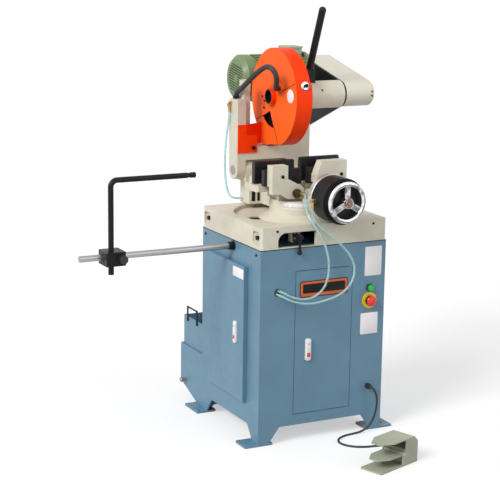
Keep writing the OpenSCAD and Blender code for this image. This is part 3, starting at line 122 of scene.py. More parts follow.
# Stretch of a noise: even, drawn out along one axis, or over the blade's plane
EVEN, ALONG_X, ALONG_Y, ALONG_Z = (1, 1, 1), (0.04, 1, 1), (1, 0.04, 1), (1, 1, 0.04)
BLADE_GRAIN = (1, 0.1, 0.1)


class Shader:
    """A node material with a Principled shader, built up in steps."""

    def __init__(self, name, colour, roughness, metallic=0.0):
        self.material = bpy.data.materials.new(name)
        self.material.use_nodes = True
        self.material.diffuse_color = (*colour, 1)
        self.tree = self.material.node_tree
        self.bsdf = self.tree.nodes["Principled BSDF"]
        self.colour = colour
        self.preset("Base Color", (*colour, 1))
        self.preset("Roughness", roughness)
        self.preset("Metallic", metallic)
        coordinates = self.add("ShaderNodeTexCoord")
        self.place, self.facing = coordinates.outputs["Object"], coordinates.outputs["Normal"]

    def preset(self, name, value):
        self.bsdf.inputs[name].default_value = value
        return self

    def add(self, kind, **values):
        node = self.tree.nodes.new(kind)
        for key, value in values.items():
            setattr(node, key, value)
        return node

    def link(self, a, b):
        self.tree.links.new(a, b)

    def noise(self, scale, detail, stretch=EVEN):
        """A noise that stays with the surface."""
        mapping = self.add("ShaderNodeMapping")
        mapping.inputs["Scale"].default_value = stretch
        self.link(self.place, mapping.inputs["Vector"])
        noise = self.add("ShaderNodeTexNoise")
        noise.inputs["Scale"].default_value = scale
        noise.inputs["Detail"].default_value = detail
        self.link(mapping.outputs["Vector"], noise.inputs["Vector"])
        return noise.outputs["Fac"]

    def remap(self, value, low=0, high=1, start=NOISE_FROM, end=NOISE_TO):
        """From low to high, as the value goes from start to end."""
        node = self.add("ShaderNodeMapRange")
        node.inputs["From Min"].default_value = start
        node.inputs["From Max"].default_value = end
        node.inputs["To Min"].default_value = low
        node.inputs["To Max"].default_value = high
        self.link(value, node.inputs["Value"])
        return node.outputs["Result"]

    def coordinate(self, vector, axis):
        """What a vector says on one axis."""
        split = self.add("ShaderNodeSeparateXYZ")
        self.link(vector, split.inputs["Vector"])
        return split.outputs[axis]

    def mix(self, factor, a, b):
        """From a to b, as the factor rises; each is a colour or a socket."""
        node = self.add("ShaderNodeMix", data_type="RGBA")
        self.link(factor, node.inputs["Factor"])
        for socket, value in zip((node.inputs[MIX_A], node.inputs[MIX_B]), (a, b)):
            if isinstance(value, tuple):
                socket.default_value = (*value, 1)
            else:
                self.link(value, socket)
        return node.outputs[MIX_RESULT]

    def tone(self, scale, spread, stretch=EVEN):
        """Colour that drifts a little lighter and darker over the surface."""
        low = tuple(c * (1 - spread) for c in self.colour)
        high = tuple(min(1.0, c * (1 + spread)) for c in self.colour)
        factor = self.remap(self.noise(scale, TONE_DETAIL, stretch))
        self.link(self.mix(factor, low, high), self.bsdf.inputs["Base Color"])
        return self

    def overlay(self, factor, colour):
        """Another colour over the tone so far."""
        socket = self.bsdf.inputs["Base Color"]
        self.link(self.mix(factor, socket.links[0].from_socket, colour), socket)
        return self

    def second(self, axis, edge, colour):
        """A second colour beyond a place on one axis."""
        start, end = (edge - SPLIT_WIDTH) * MM, (edge + SPLIT_WIDTH) * MM
        return self.overlay(self.remap(self.coordinate(self.place, axis), start=start, end=end), colour)

    def painted_light_on_flats(self, axis, colour):
        """Painted light: another, lighter tone on the flat faces square to one axis, standing for the light
        that falls on them.
        """
        size = self.add("ShaderNodeMath", operation="ABSOLUTE")
        self.link(self.coordinate(self.facing, axis), size.inputs[0])
        return self.overlay(self.remap(size.outputs[0], start=PAINTED_LIGHT_FROM, end=PAINTED_LIGHT_TO), colour)

    def gloss(self, scale, least, most, stretch=EVEN):
        """Roughness that drifts between two values."""
        factor = self.remap(self.noise(scale, GLOSS_DETAIL, stretch), least, most)
        self.link(factor, self.bsdf.inputs["Roughness"])
        return self

    def relief(self, scale, height, edge, detail=2, stretch=EVEN):
        """Fine bumps over softly rounded edges."""
        bevel = self.add("ShaderNodeBevel", samples=BEVEL_SAMPLES)
        bevel.inputs["Radius"].default_value = edge * MM
        bump = self.add("ShaderNodeBump")
        bump.inputs["Strength"].default_value = 1.0
        bump.inputs["Distance"].default_value = height * MM
        self.link(self.noise(scale, detail, stretch), bump.inputs["Height"])
        self.link(bevel.outputs["Normal"], bump.inputs["Normal"])
        self.link(bump.outputs["Normal"], self.bsdf.inputs["Normal"])
        return self

    def mirror(self, stops):
        """Painted reflection: bands of light and dark in the base colour that follow the way a surface
        faces, as polished metal mirrors its surroundings.
        """
        facing = self.add("ShaderNodeVectorMath", operation="DOT_PRODUCT")
        self.link(self.facing, facing.inputs[0])
        facing.inputs[1].default_value = MIRROR_WAY
        total = self.add("ShaderNodeMath", operation="ADD")
        self.link(facing.outputs["Value"], total.inputs[0])
        self.link(self.remap(self.noise(MIRROR_SCALE, MIRROR_DETAIL), *MIRROR_DRIFT), total.inputs[1])
        ramp = self.add("ShaderNodeValToRGB")
        bands = ramp.color_ramp.elements
        while len(bands) < len(stops):
            bands.new(0.5)
        for band, (place, level) in zip(bands, stops):
            band.position = place
            band.color = (level, level, level * COOL_TINT, 1)
        self.link(total.outputs[0], ramp.inputs["Fac"])
        self.link(ramp.outputs["Color"], self.bsdf.inputs["Base Color"])
        return self


def paint(name, colour, roughness=0.42):
    shader = Shader(name, colour, roughness).tone(scale=9, spread=0.05)
    shader.gloss(scale=26, least=roughness - 0.06, most=roughness + 0.08)
    return shader.relief(scale=420, height=0.05, edge=1.2).material


def enamel(name, colour, edge=3.0):
    """Thick paint on a casting."""
    shader = Shader(name, colour, roughness=0.5).tone(scale=14, spread=0.07)
    shader.gloss(scale=40, least=0.42, most=0.6).relief(scale=160, height=0.22, edge=edge, detail=4)
    return shader.preset("Coat Weight", 0.12).preset("Coat Roughness", 0.3).material


def metal(name, colour, roughness, stretch=EVEN):
    shader = Shader(name, colour, roughness, metallic=1.0).tone(scale=60, spread=0.08, stretch=stretch)
    shader.gloss(scale=90, least=roughness - 0.08, most=roughness + 0.1, stretch=stretch)
    return shader.relief(scale=700, height=0.02, edge=0.6, stretch=stretch).material


def plastic(name, colour, roughness=0.35):
    shader = Shader(name, colour, roughness).tone(scale=30, spread=0.06)
    shader.gloss(scale=60, least=roughness - 0.05, most=roughness + 0.08)
    return shader.relief(scale=600, height=0.03, edge=0.8).material


def clear_tube():
    shader = Shader("clear_tube", (0.56, 0.80, 0.79), roughness=0.12).tone(scale=40, spread=0.08)
    shader.relief(scale=300, height=0.02, edge=0.4)
    return shader.preset("Transmission Weight", 0.55).preset("IOR", 1.4).material


def guard_paint():
    """Orange, deep red on the rim, with painted light on the flat sides: a lighter, more orange tone for the
    light and sheen that fall on them.
    """
    shader = Shader("guard_paint", (0.98, 0.048, 0.0015), roughness=0.45).tone(scale=9, spread=0.03)
    shader.painted_light_on_flats("X", (0.95, 0.125, 0.014)).gloss(scale=26, least=0.4, most=0.52)
    return shader.relief(scale=420, height=0.05, edge=2.0).preset("Specular IOR Level", 0.12).material


def black_paint():
    shader = Shader("black_paint", (0.008, 0.008, 0.009), roughness=0.42).tone(scale=9, spread=0.2)
    shader.gloss(scale=26, least=0.34, most=0.48).relief(scale=420, height=0.05, edge=1.2)
    return shader.preset("Specular IOR Level", 0.2).material


def black_iron():
    shader = Shader("black_iron", (0.022, 0.020, 0.022), roughness=0.42, metallic=0.6)
    shader.tone(scale=50, spread=0.3).gloss(scale=70, least=0.32, most=0.55)
    return shader.relief(scale=300, height=0.08, edge=1.0, detail=4).material


def chrome():
    # Chrome: its colour is painted reflection, bands of light and dark from the way each face looks
    shader = Shader("chrome", (0.8, 0.8, 0.82), roughness=0.1, metallic=1.0).mirror(CHROME_REFLECTION_BANDS)
    return shader.relief(scale=300, height=0.02, edge=1.5).material


def oxide_steel():
    shader = Shader("oxide_steel", (0.035, 0.035, 0.042), roughness=0.36, metallic=0.7)
    shader.tone(scale=50, spread=0.2, stretch=BLADE_GRAIN).gloss(scale=80, least=0.3, most=0.45)
    return shader.relief(scale=500, height=0.03, edge=0.6).material


def rubber():
    shader = Shader("rubber", (0.020, 0.020, 0.022), roughness=0.55).tone(scale=40, spread=0.2)
    shader.gloss(scale=80, least=0.45, most=0.62)
    return shader.relief(scale=260, height=0.12, edge=0.6, detail=4).material


def bare_label():
    shader = Shader("bare_label", (0.84, 0.81, 0.82), roughness=0.4).tone(scale=30, spread=0.02)
    return shader.gloss(scale=60, least=0.36, most=0.48).material


PLUG_END, BEZEL_LOW = -128.4, 537


def plug_and_brass():
    """Brass in front of a dark plug, on one node."""
    shader = Shader("plug_and_brass", (0.62, 0.42, 0.16), roughness=0.3, metallic=0.8)
    shader.tone(scale=60, spread=0.1).second("Y", PLUG_END, (0.03, 0.028, 0.026))
    return shader.relief(scale=400, height=0.04, edge=0.8).material


def collar_plastic():
    """Yellow collar under a black bezel, on one node."""
    shader = Shader("collar_plastic", (0.80, 0.56, 0.01), roughness=0.35).tone(scale=30, spread=0.05)
    shader.second("Z", BEZEL_LOW, (0.05, 0.05, 0.05))
    return shader.relief(scale=500, height=0.03, edge=0.8).material


LOOKS = {
    "stand": paint("stand_paint", (0.115, 0.232, 0.325)),
    "cream": enamel("cream_enamel", (0.63, 0.59, 0.48)),
    "cover": paint("cover_paint", (0.60, 0.575, 0.48), roughness=0.45),
    "guard": guard_paint(),
    "motor": enamel("motor_enamel", (0.15, 0.215, 0.09), edge=1.5),
    "lid": enamel("lid_enamel", (0.29, 0.40, 0.25), edge=1.5),
    "pedal": enamel("pedal_enamel", (0.36, 0.38, 0.28), edge=1.5),
    "black": black_paint(),
    "iron": black_iron(),
    "steel_x": metal("ground_steel_x", (0.40, 0.385, 0.40), roughness=0.34, stretch=ALONG_X),
    "steel_y": metal("ground_steel_y", (0.58, 0.58, 0.59), roughness=0.28, stretch=ALONG_Y),
    "steel_z": metal("ground_steel_z", (0.58, 0.58, 0.59), roughness=0.30, stretch=ALONG_Z),
    "chrome": chrome(),
    "oxide": oxide_steel(),
    "alloy": metal("cast_alloy", (0.80, 0.80, 0.80), roughness=0.34),
    "brass": metal("brass", (0.56, 0.38, 0.16), roughness=0.28),
    "bronze": metal("bronze", (0.26, 0.17, 0.12), roughness=0.32),
    "rubber": rubber(),
    "clear": clear_tube(),
    "plastic": plastic("black_plastic", (0.018, 0.018, 0.020)),
    "red": plastic("red_plastic", (0.76, 0.028, 0.018), roughness=0.25),
    "green": plastic("green_plastic", (0.01, 0.50, 0.05), roughness=0.25),
    "white": plastic("white_plastic", (0.80, 0.80, 0.78)),
    "label": bare_label(),
    "orange_label": plastic("plain_badge", (0.62, 0.115, 0.018), roughness=0.3),
    "grey": paint("panel_grey", (0.42, 0.43, 0.44)),
    "jaw_fitting": plug_and_brass(),
    "collars": collar_plastic(),
}
FINISH = {
    "stand": "cabinet foot_plates tank_holder front_door side_door coolant_tank",
    "cream": "table vice_bed turret vice_slide head_arm gear_housing",
    "cover": "belt_cover",
    "guard": "upper_guard rear_guard front_guard",
    "motor": "motor_body fan_cover",
    "lid": "terminal_box",
    "pedal": "pedal_housing foot_pedal",
    "black": "air_cylinder stop_socket stop_clamp stop_arm back_plate table_bolts mitre_lever pull_handle",
    "iron": "fixed_jaws jaw_plates",
    "steel_x": "stop_rod pivot_shaft input_shaft gear_reducer",
    "oxide": "spindle saw_blade motor_rotor tank_handle",
    "steel_y": "vice_screw",
    "steel_z": "hinge_pins",
    "chrome": "handwheel",
    "brass": "air_fitting coolant_tap",
    "jaw_fitting": "jaw_fitting",
    "rubber": "coolant_hose drive_belt",
    "plastic": "cable_gland stop_knob",
    "collars": "button_collars",
    "red": "estop_button",
    "green": "start_button",
    "white": "front_latch side_latch",
    "grey": "electric_panel coolant_pump",
}
for key, names in FINISH.items():
    for name in names.split():
        slots = nodes[name].data.materials
        if len(slots):
            slots[0] = LOOKS[key]
        else:
            slots.append(LOOKS[key])

# Meshes for added pieces
SMOOTH_ANGLE = math.radians(35)
WELD, EDGE_SEGMENTS, CORNER_STEPS = 1e-4, 2, 6
TURNED_SIDES, BAND_SIDES, SCREW_SIDES = 32, 64, 20
# A screw's rim and socket as shares of its radius, and its socket's floor of its height and width
RIM_SHARE, SOCKET_SHARE, FLOOR_HEIGHT_SHARE, FLOOR_WIDTH_SHARE = 0.12, 0.5, 0.45, 0.9


class Piece:
    """One added mesh, drawn in the CAD frame."""

    def __init__(self):
        self.mesh = bmesh.new()

    def ring(self, centre, radius, side, other, sides):
        """Vertices around a centre, in the plane of two directions."""
        angles = [2 * math.pi * k / sides for k in range(sides)]
        return [self.mesh.verts.new(centre + radius * (math.cos(a) * side + math.sin(a) * other))
                for a in angles]

    def skin(self, rings, ends=True):
        """Faces from ring to ring, closed at both ends unless told not to."""
        sides = len(rings[0])
        for a, b in zip(rings, rings[1:]):
            for k in range(sides):
                m = (k + 1) % sides
                self.mesh.faces.new((a[k], a[m], b[m], b[k]))
        if ends:
            self.mesh.faces.new(rings[0][::-1])
            self.mesh.faces.new(rings[-1])
        return self

    def box(self, low, high):
        for v in bmesh.ops.create_cube(self.mesh, size=1)["verts"]:
            v.co = Vector([a + (c + 0.5) * (b - a) for a, b, c in zip(low, high, v.co)])
        return self

    def turned(self, place, axis, profile, sides=TURNED_SIDES, ends=True):
        """A turned shape, from (distance along the axis, radius) pairs."""
        axis = Vector(axis).normalized()
        side = axis.orthogonal().normalized()
        other = axis.cross(side)
        return self.skin([self.ring(Vector(place) + along * axis, radius, side, other, sides)
                          for along, radius in profile], ends)

    def band(self, place, axis, profile):
        """A ring turned from a closed loop of (distance along the axis, radius) pairs."""
        self.turned(place, axis, [*profile, profile[0]], BAND_SIDES, ends=False)
        bmesh.ops.remove_doubles(self.mesh, verts=self.mesh.verts, dist=WELD)
        return self

    def slab(self, corners, axis, start, end, round_by=0.0):
        """A flat shape through corners (two coordinates each), as thick as start to end on an axis."""
        def at(pair, depth):
            values = list(pair)
            values.insert("XYZ".index(axis), depth)
            return Vector(values)
        low = [self.mesh.verts.new(at(c, start)) for c in corners]
        high = [self.mesh.verts.new(at(c, end)) for c in corners]
        self.mesh.faces.new(low[::-1])
        top = self.mesh.faces.new(high)
        self.skin([low, high], ends=False)
        if round_by:
            bmesh.ops.bevel(self.mesh, geom=list(top.edges), offset=round_by, segments=EDGE_SEGMENTS,
                            affect="EDGES", profile=0.5)
        return self

    def screw(self, place, axis, radius, height):
        """A socket head screw standing on a face."""
        rim, socket = RIM_SHARE * radius, SOCKET_SHARE * radius
        return self.turned(place, axis, [
            (0, radius), (height - rim, radius), (height, radius - rim), (height, socket),
            (FLOOR_HEIGHT_SHARE * height, FLOOR_WIDTH_SHARE * socket)], SCREW_SIDES)

    def tube(self, path, radius, sides):
        """A round tube along a path, with both ends closed."""
        befores, afters = [path[0], *path[:-1]], [*path[1:], path[-1]]
        tangents = [(after - before).normalized() for before, after in zip(befores, afters)]
        side = tangents[0].orthogonal().normalized()
        rings = []
        for centre, tangent in zip(path, tangents):
            side = (side - side.dot(tangent) * tangent).normalized()
            rings.append(self.ring(centre, radius, side, tangent.cross(side), sides))
        return self.skin(rings)

    def done(self, name, finish, body, slot, place=None):
        """The finished object, turned and moved by a matrix, if one is given."""
        bmesh.ops.recalc_face_normals(self.mesh, faces=self.mesh.faces)
        data = bpy.data.meshes.new(name)
        self.mesh.to_mesh(data)
        self.mesh.free()
        matrix = place if place is not None else Matrix.Identity(4)
        data.transform(Matrix.Scale(MM, 4) @ matrix)
        for face in data.polygons:
            face.use_smooth = True
        data.set_sharp_from_angle(angle=SMOOTH_ANGLE)
        data.materials.append(LOOKS[finish])
        made = bpy.data.objects.new(name, data)
        bpy.context.scene.collection.objects.link(made)
        if body:
            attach(made, body)
        return made


def rounded(low, high, radius):
    """Corners of a rectangle with round corners, as pairs."""
    left, right = low[0] + radius, high[0] - radius
    bottom, top = low[1] + radius, high[1] - radius
    points = []
    for x, y, start in ((right, top, 0), (left, top, 90), (left, bottom, 180), (right, bottom, 270)):
        for k in range(CORNER_STEPS + 1):
            a = math.radians(start + 90 * k / CORNER_STEPS)
            points.append((x + radius * math.cos(a), y + radius * math.sin(a)))
    return points


def add_screws(name, body, seats, radius, height):
    """Black screws as one piece, each with its place and axis."""
    piece = Piece()
    for place, axis in seats:
        piece.screw(place, axis, radius, height)
    piece.done(name, "black", body, "black_paint")


# Cords and tubes, on the CAD routes
ROUTES = {
    "pedal_cable": [
        (199, -262, 175), (199, -271, 175), (205, -280, 168), (213, -283, 150), (218, -281, 120),
        (217, -277, 85), (208, -272, 50), (190, -268, 22), (160, -267, 8), (120, -268, 4), (82, -276, 4),
        (50, -295, 4), (32, -325, 4), (34, -358, 4), (56, -390, 4), (92, -410, 4), (132, -418, 4),
        (172, -426, 4), (206, -444, 6), (230, -470, 13), (238, -500, 23), (226, -526, 29), (208, -535.7, 30),
        (194.6, -540.6, 30), (181.4, -545.4, 30)],
    "air_tube_jaw": [
        (-39, -144, 904), (-39, -153, 904), (-43, -166, 901), (-52, -181, 892), (-60, -199, 874),
        (-64, -220, 848), (-58, -244, 822), (-44, -264, 790), (-24, -272, 752), (-8, -273, 710),
        (0, -273, 664), (-4, -273, 614), (-24, -273, 574), (-62, -273, 550), (-106, -272, 546),
        (-146, -270, 557), (-170, -267, 570), (-184, -259, 577), (-188, -250, 578), (-188, -240, 578)],
    "air_tube_cylinder": [
        (-62, -255, 873), (-62, -255, 864), (-61, -257, 848), (-52, -263, 824), (-30, -270, 800),
        (2, -277, 774), (42, -283, 738), (78, -285, 698), (98, -285, 656), (98, -285, 614), (78, -285, 578),
        (40, -285, 552), (-10, -285, 538), (-70, -284, 530), (-122, -282, 536), (-162, -277, 550),
        (-184, -268, 562), (-193, -256, 566), (-194, -249, 566), (-194, -240, 566)],
    "coolant_tube": [
        (-154, 240, 1164), (-154, 240, 1152), (-156, 245, 1115), (-160, 252, 1060), (-162, 256, 1000),
        (-162, 256, 940), (-159, 252, 890), (-153, 244, 854), (-143, 236, 838), (-124, 231, 832),
        (-97, 231, 832)],
}
CORD_RADIUS, CORD_STEPS, CORD_SIDES = 4.0, 5, 16
# Bodies that a tube joins, and where it leaves the one and reaches the other
JAW_BEND = ("base", "vice_jaw", (-66, -226, 842), (-39, -146, 904))
COOLANT_BEND = ("turret", "head", (-150, 245, 850), (-154, 240, 1150))


def smooth(points, steps):
    """A curve through the points."""
    p = [Vector(q) for q in points]
    out = []
    for i in range(len(p) - 1):
        a, b, c, d = p[max(i - 1, 0)], p[i], p[i + 1], p[min(i + 2, len(p) - 1)]
        for k in range(steps):
            t = k / steps
            out.append((2 * b + (c - a) * t + (2 * a - 5 * b + 4 * c - d) * t * t
                        + (3 * b - a - 3 * c + d) * t ** 3) / 2)
    return out + [p[-1]]


def lay_cord(node, finish, slot, body=None, bend=None):
    """A cord on one body, or on no body where it runs between two, that stays above the floor."""
    path = smooth(ROUTES[node], CORD_STEPS)
    for point in path:
        point.z = max(point.z, CORD_RADIUS)
    made = Piece().tube(path, CORD_RADIUS, CORD_SIDES).done(node + "_line", finish, body, slot)
    if bend:
        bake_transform(made)
    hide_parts(node)


lay_cord("pedal_cable", "rubber", "rubber", body="base")
lay_cord("air_tube_jaw", "clear", "clear_tube", bend=JAW_BEND)
lay_cord("air_tube_cylinder", "clear", "clear_tube", body="base")
lay_cord("coolant_tube", "clear", "clear_tube", bend=COOLANT_BEND)

# Floor, light and background
DOME, FLOOR_TONE, FLOOR_FILL, FLOOR_DROP, FLOOR_REACH = 0.55, 0.5, 0.5, 0.0002, 60
# Name, the way towards it, power and angle of each sun
SUNS = [("key", (-0.85, -0.32, 0.65), 2.5, 24), ("fill", (0.5, -0.8, 0.6), 0.35, 40)]
SPOT_PLACE, SPOT_TARGET, SPOT_POWER = Vector((1.2, -2.2, 1.75)), Vector((0.24, 0.1, 1.2)), 40
SPOT_ANGLE, SPOT_BLEND, SPOT_SOFTNESS = 17, 0.7, 0.25


def seen_rays(tree):
    """One for camera, glossy and transmission rays, and zero for the rest."""
    path = tree.nodes.new("ShaderNodeLightPath")
    total = path.outputs["Is Camera Ray"]
    for name in ("Is Glossy Ray", "Is Transmission Ray"):
        node = tree.nodes.new("ShaderNodeMath")
        node.operation = "MAXIMUM"
        tree.links.new(total, node.inputs[0])
        tree.links.new(path.outputs[name], node.inputs[1])
        total = node.outputs[0]
    return total


def make_world():
    world = bpy.data.worlds.new("studio")
    bpy.context.scene.world = world
    world.use_nodes = True
    tree = world.node_tree
    background = tree.nodes["Background"]
    strength = tree.nodes.new("ShaderNodeMapRange")
    strength.inputs["To Min"].default_value = DOME
    strength.inputs["To Max"].default_value = 1.0
    tree.links.new(seen_rays(tree), strength.inputs["Value"])
    tree.links.new(strength.outputs["Result"], background.inputs["Strength"])
    background.inputs["Color"].default_value = (1, 1, 1, 1)


def make_lamp(name, kind, power, way):
    """A lamp that shines from the given way."""
    data = bpy.data.lights.new(name, kind)
    data.energy = power
    lamp = bpy.data.objects.new(name, data)
    lamp.rotation_mode = "QUATERNION"
    lamp.rotation_quaternion = way.to_track_quat("Z", "Y")
    bpy.context.scene.collection.objects.link(lamp)
    return lamp


def make_lamps():
    for name, way, power, angle in SUNS:
        sun = make_lamp(name, "SUN", power, Vector(way))
        sun.data.angle = math.radians(angle)
    spot = make_lamp("head_lamp", "SPOT", SPOT_POWER, SPOT_PLACE - SPOT_TARGET)
    spot.location = SPOT_PLACE
    spot.data.spot_size = math.radians(SPOT_ANGLE)
    spot.data.spot_blend = SPOT_BLEND
    spot.data.shadow_soft_size = SPOT_SOFTNESS


def floor_material():
    material = bpy.data.materials.new("pale_floor")
    material.use_nodes = True
    tree = material.node_tree
    tree.nodes.remove(tree.nodes["Principled BSDF"])
    matt = tree.nodes.new("ShaderNodeBsdfDiffuse")
    matt.inputs["Color"].default_value = (FLOOR_TONE, FLOOR_TONE, FLOOR_TONE, 1)
    glow = tree.nodes.new("ShaderNodeEmission")
    fill = tree.nodes.new("ShaderNodeMapRange")
    fill.inputs["To Max"].default_value = FLOOR_FILL
    tree.links.new(seen_rays(tree), fill.inputs["Value"])
    tree.links.new(fill.outputs["Result"], glow.inputs["Strength"])
    both = tree.nodes.new("ShaderNodeAddShader")
    tree.links.new(matt.outputs[0], both.inputs[0])
    tree.links.new(glow.outputs[0], both.inputs[1])
    tree.links.new(both.outputs[0], tree.nodes["Material Output"].inputs["Surface"])
    return material


def make_floor():
    r = FLOOR_REACH
    data = bpy.data.meshes.new("floor")
    data.from_pydata([(-r, -r, 0), (r, -r, 0), (r, r, 0), (-r, r, 0)], [], [(0, 1, 2, 3)])
    data.materials.append(floor_material())
    floor = bpy.data.objects.new("floor", data)
    floor.location.z = -FLOOR_DROP
    bpy.context.scene.collection.objects.link(floor)


bpy.context.scene.view_settings.view_transform = "Standard"
make_world()
make_lamps()
make_floor()

# Stand: bare plates and badge on the front, with a pin in each corner where they are pinned
PLATE_EDGE, PIN_INSET, PIN_SIDES = 0.3, 4, 12
PIN_PROFILE = [(0, 1.6), (0.5, 1.5), (0.8, 0.8)]
# Name, finish, slot, body, low and high corner, corner radius, thickness, pinned or not
PLATES = [
    ("upper_bare_plate", "label", "white_plastic", "base", (172, 599), (243, 709), 3, 0.9, True),
    ("lower_bare_plate", "label", "white_plastic", "base", (160, 377), (234, 458), 3, 0.9, True),
    ("badge_rim", "black", "black_paint", "front_door", (-99, 543), (101, 603), 10, 1.0, False),
    ("plain_badge", "orange_label", "guard_paint", "front_door", (-96, 546), (98, 600), 8, 1.6, False),
    ("badge_field", "black", "black_paint", "front_door", (-87, 558), (89, 592), 4, 2.2, False),
]
for name, finish, slot, body, low, high, radius, thick, pinned in PLATES:
    piece = Piece().slab(rounded(low, high, radius), "Y", FRONT, FRONT - thick, PLATE_EDGE)
    if pinned:
        for x in (low[0] + PIN_INSET, high[0] - PIN_INSET):
            for z in (low[1] + PIN_INSET, high[1] - PIN_INSET):
                piece.turned((x, FRONT - thick, z), FORWARD, PIN_PROFILE, PIN_SIDES)
    piece.done(name, finish, body, slot)

# Stand: screws of the left side, bare plate of the side door
SIDE_SCREW_PLACES, SIDE_SCREW_R, SIDE_SCREW_H = ((-206, 708), (214, 708)), 5, 3
SIDE_PLATE_LOW, SIDE_PLATE_HIGH, SIDE_PLATE_R, SIDE_PLATE_T = (-142, 606), (-57, 642), 2, 0.8
add_screws("side_screws", "base", [((LEFT, y, z), LEFTWARD) for y, z in SIDE_SCREW_PLACES],
           SIDE_SCREW_R, SIDE_SCREW_H)
side_plate = rounded(SIDE_PLATE_LOW, SIDE_PLATE_HIGH, SIDE_PLATE_R)
Piece().slab(side_plate, "X", SIDE_DOOR, SIDE_DOOR - SIDE_PLATE_T, PLATE_EDGE).done(
    "side_bare_plate", "label", "side_door", "white_plastic")

# Latches: raised grip, red marker and key cap, measured from the latch's axis
LATCH_FACE = lowest("front_latch").y - FRONT
GRIP_LOW, GRIP_HIGH, GRIP_R, GRIP_T, GRIP_EDGE = (-8.5, -52), (8.5, 20), 4, 2.2, 1.0
MARKER_LOW, MARKER_HIGH, MARKER_R, MARKER_T, MARKER_EDGE = (-6.5, -43), (6.5, -28), 1, 0.6, 0.2
KEY_Z, KEY_SIDES = 7, 24
KEY_PROFILE = [(0, 5), (1.2, 5), (1.6, 4.4), (1.6, 1.6), (0.8, 1.4)]


def dress_latch(body, place, turn):
    """Trim of one latch, drawn at the origin facing forward, then turned and moved."""
    at = Matrix.Translation(place) @ Matrix.Rotation(turn, 4, "Z")
    face = LATCH_FACE - GRIP_T
    grip = rounded(GRIP_LOW, GRIP_HIGH, GRIP_R)
    Piece().slab(grip, "Y", LATCH_FACE, face, GRIP_EDGE).done(
        body + "_grip", "white", body, "white_plastic", at)
    marker = rounded(MARKER_LOW, MARKER_HIGH, MARKER_R)
    Piece().slab(marker, "Y", face, face - MARKER_T, MARKER_EDGE).done(
        body + "_marker", "red", body, "red_plastic", at)
    Piece().turned((0, face, KEY_Z), FORWARD, KEY_PROFILE, KEY_SIDES).done(
        body + "_key", "steel_y", body, "steel", at)


dress_latch("front_latch", PIVOT["front_latch_turn"], 0)
dress_latch("side_latch", PIVOT["side_latch_turn"], -math.pi / 2)

# Sleeve of the emergency stop, whose dark ring around the mushroom is partly the black sleeve and partly
# painted shade, and the cable's relief at its gland
STOP_MIDDLE = (lowest("estop_button") + highest("estop_button")) / 2
SLEEVE_AND_SHADE_PROFILE = [(0, 19), (5, 19), (6.5, 17.5), (6.5, 8.6)]
RELIEF_PROFILE, RELIEF_SIDES = [(0, 7.4), (2, 7.4), (4, 6.6), (9, 5.2), (9, 4.2)], 24
Piece().turned((STOP_MIDDLE.x, lowest("button_collars").y, STOP_MIDDLE.z), FORWARD, SLEEVE_AND_SHADE_PROFILE).done(
    "estop_sleeve_and_shade", "plastic", "base", "black_plastic")
Piece().turned(ROUTES["pedal_cable"][0], FORWARD, RELIEF_PROFILE, RELIEF_SIDES).done(
    "gland_relief", "rubber", "base", "black_plastic")

# Table: screws and the round corner of the recess
TABLE_SCREW_PLACES, TABLE_SCREW_R, TABLE_SCREW_H = ((-195, 795), (203, 795)), 4.5, 2.2
RECESS_LEFT, RECESS_TOP, RECESS_BACK, RECESS_R, RECESS_STEPS = -190.5, 787, -225, 30, 10
add_screws("table_screws", "base", [((x, FRONT, z), FORWARD) for x, z in TABLE_SCREW_PLACES],
           TABLE_SCREW_R, TABLE_SCREW_H)
corner = [(RECESS_LEFT, RECESS_TOP)]
for k in range(RECESS_STEPS + 1):
    a = math.radians(180 - 90 * k / RECESS_STEPS)
    corner.append((RECESS_LEFT + RECESS_R * (1 + math.cos(a)), RECESS_TOP + RECESS_R * (math.sin(a) - 1)))
Piece().slab(corner, "Y", FRONT, RECESS_BACK).done("recess_corner", "cream", "base", "cream_paint")

# Gasket line between stand and table, on all four sides
GASKET_H, GASKET_T = 2.6, 0.4
piece = Piece()
for sign in (1, -1):
    x = sorted((sign * LEFT, sign * (LEFT - GASKET_T)))
    y = sorted((sign * FRONT, sign * (FRONT - GASKET_T)))
    piece.box((x[0], FRONT, STAND_TOP - GASKET_H), (x[1], -FRONT, STAND_TOP))
    piece.box((LEFT, y[0], STAND_TOP - GASKET_H), (-LEFT, y[1], STAND_TOP))
piece.done("table_gasket", "black", "base", "black_paint")

# Strainer in the drain: rings on a cross of two bars
DRAIN_X, DRAIN_Y, DRAIN_R, STRAINER_Z = -150, 8, 29.6, 791
STRAINER_RINGS, STRAINER_W, STRAINER_T = 3, 5, 2
BAR_HALF, BAR_INSET, BAR_BELOW, BAR_ABOVE = 2, 2, 1, 0.6
piece = Piece()
for k in range(STRAINER_RINGS):
    outer = DRAIN_R * (1 - k / STRAINER_RINGS)
    piece.band((DRAIN_X, DRAIN_Y, STRAINER_Z), UPWARD, [
        (0, outer), (STRAINER_T, outer), (STRAINER_T, outer - STRAINER_W), (0, outer - STRAINER_W)])
bar_reach = DRAIN_R - BAR_INSET
for across, along in ((bar_reach, BAR_HALF), (BAR_HALF, bar_reach)):
    piece.box((DRAIN_X - across, DRAIN_Y - along, STRAINER_Z - BAR_BELOW),
              (DRAIN_X + across, DRAIN_Y + along, STRAINER_Z + BAR_ABOVE))
piece.done("drain_strainer", "iron", "base", "black_paint")
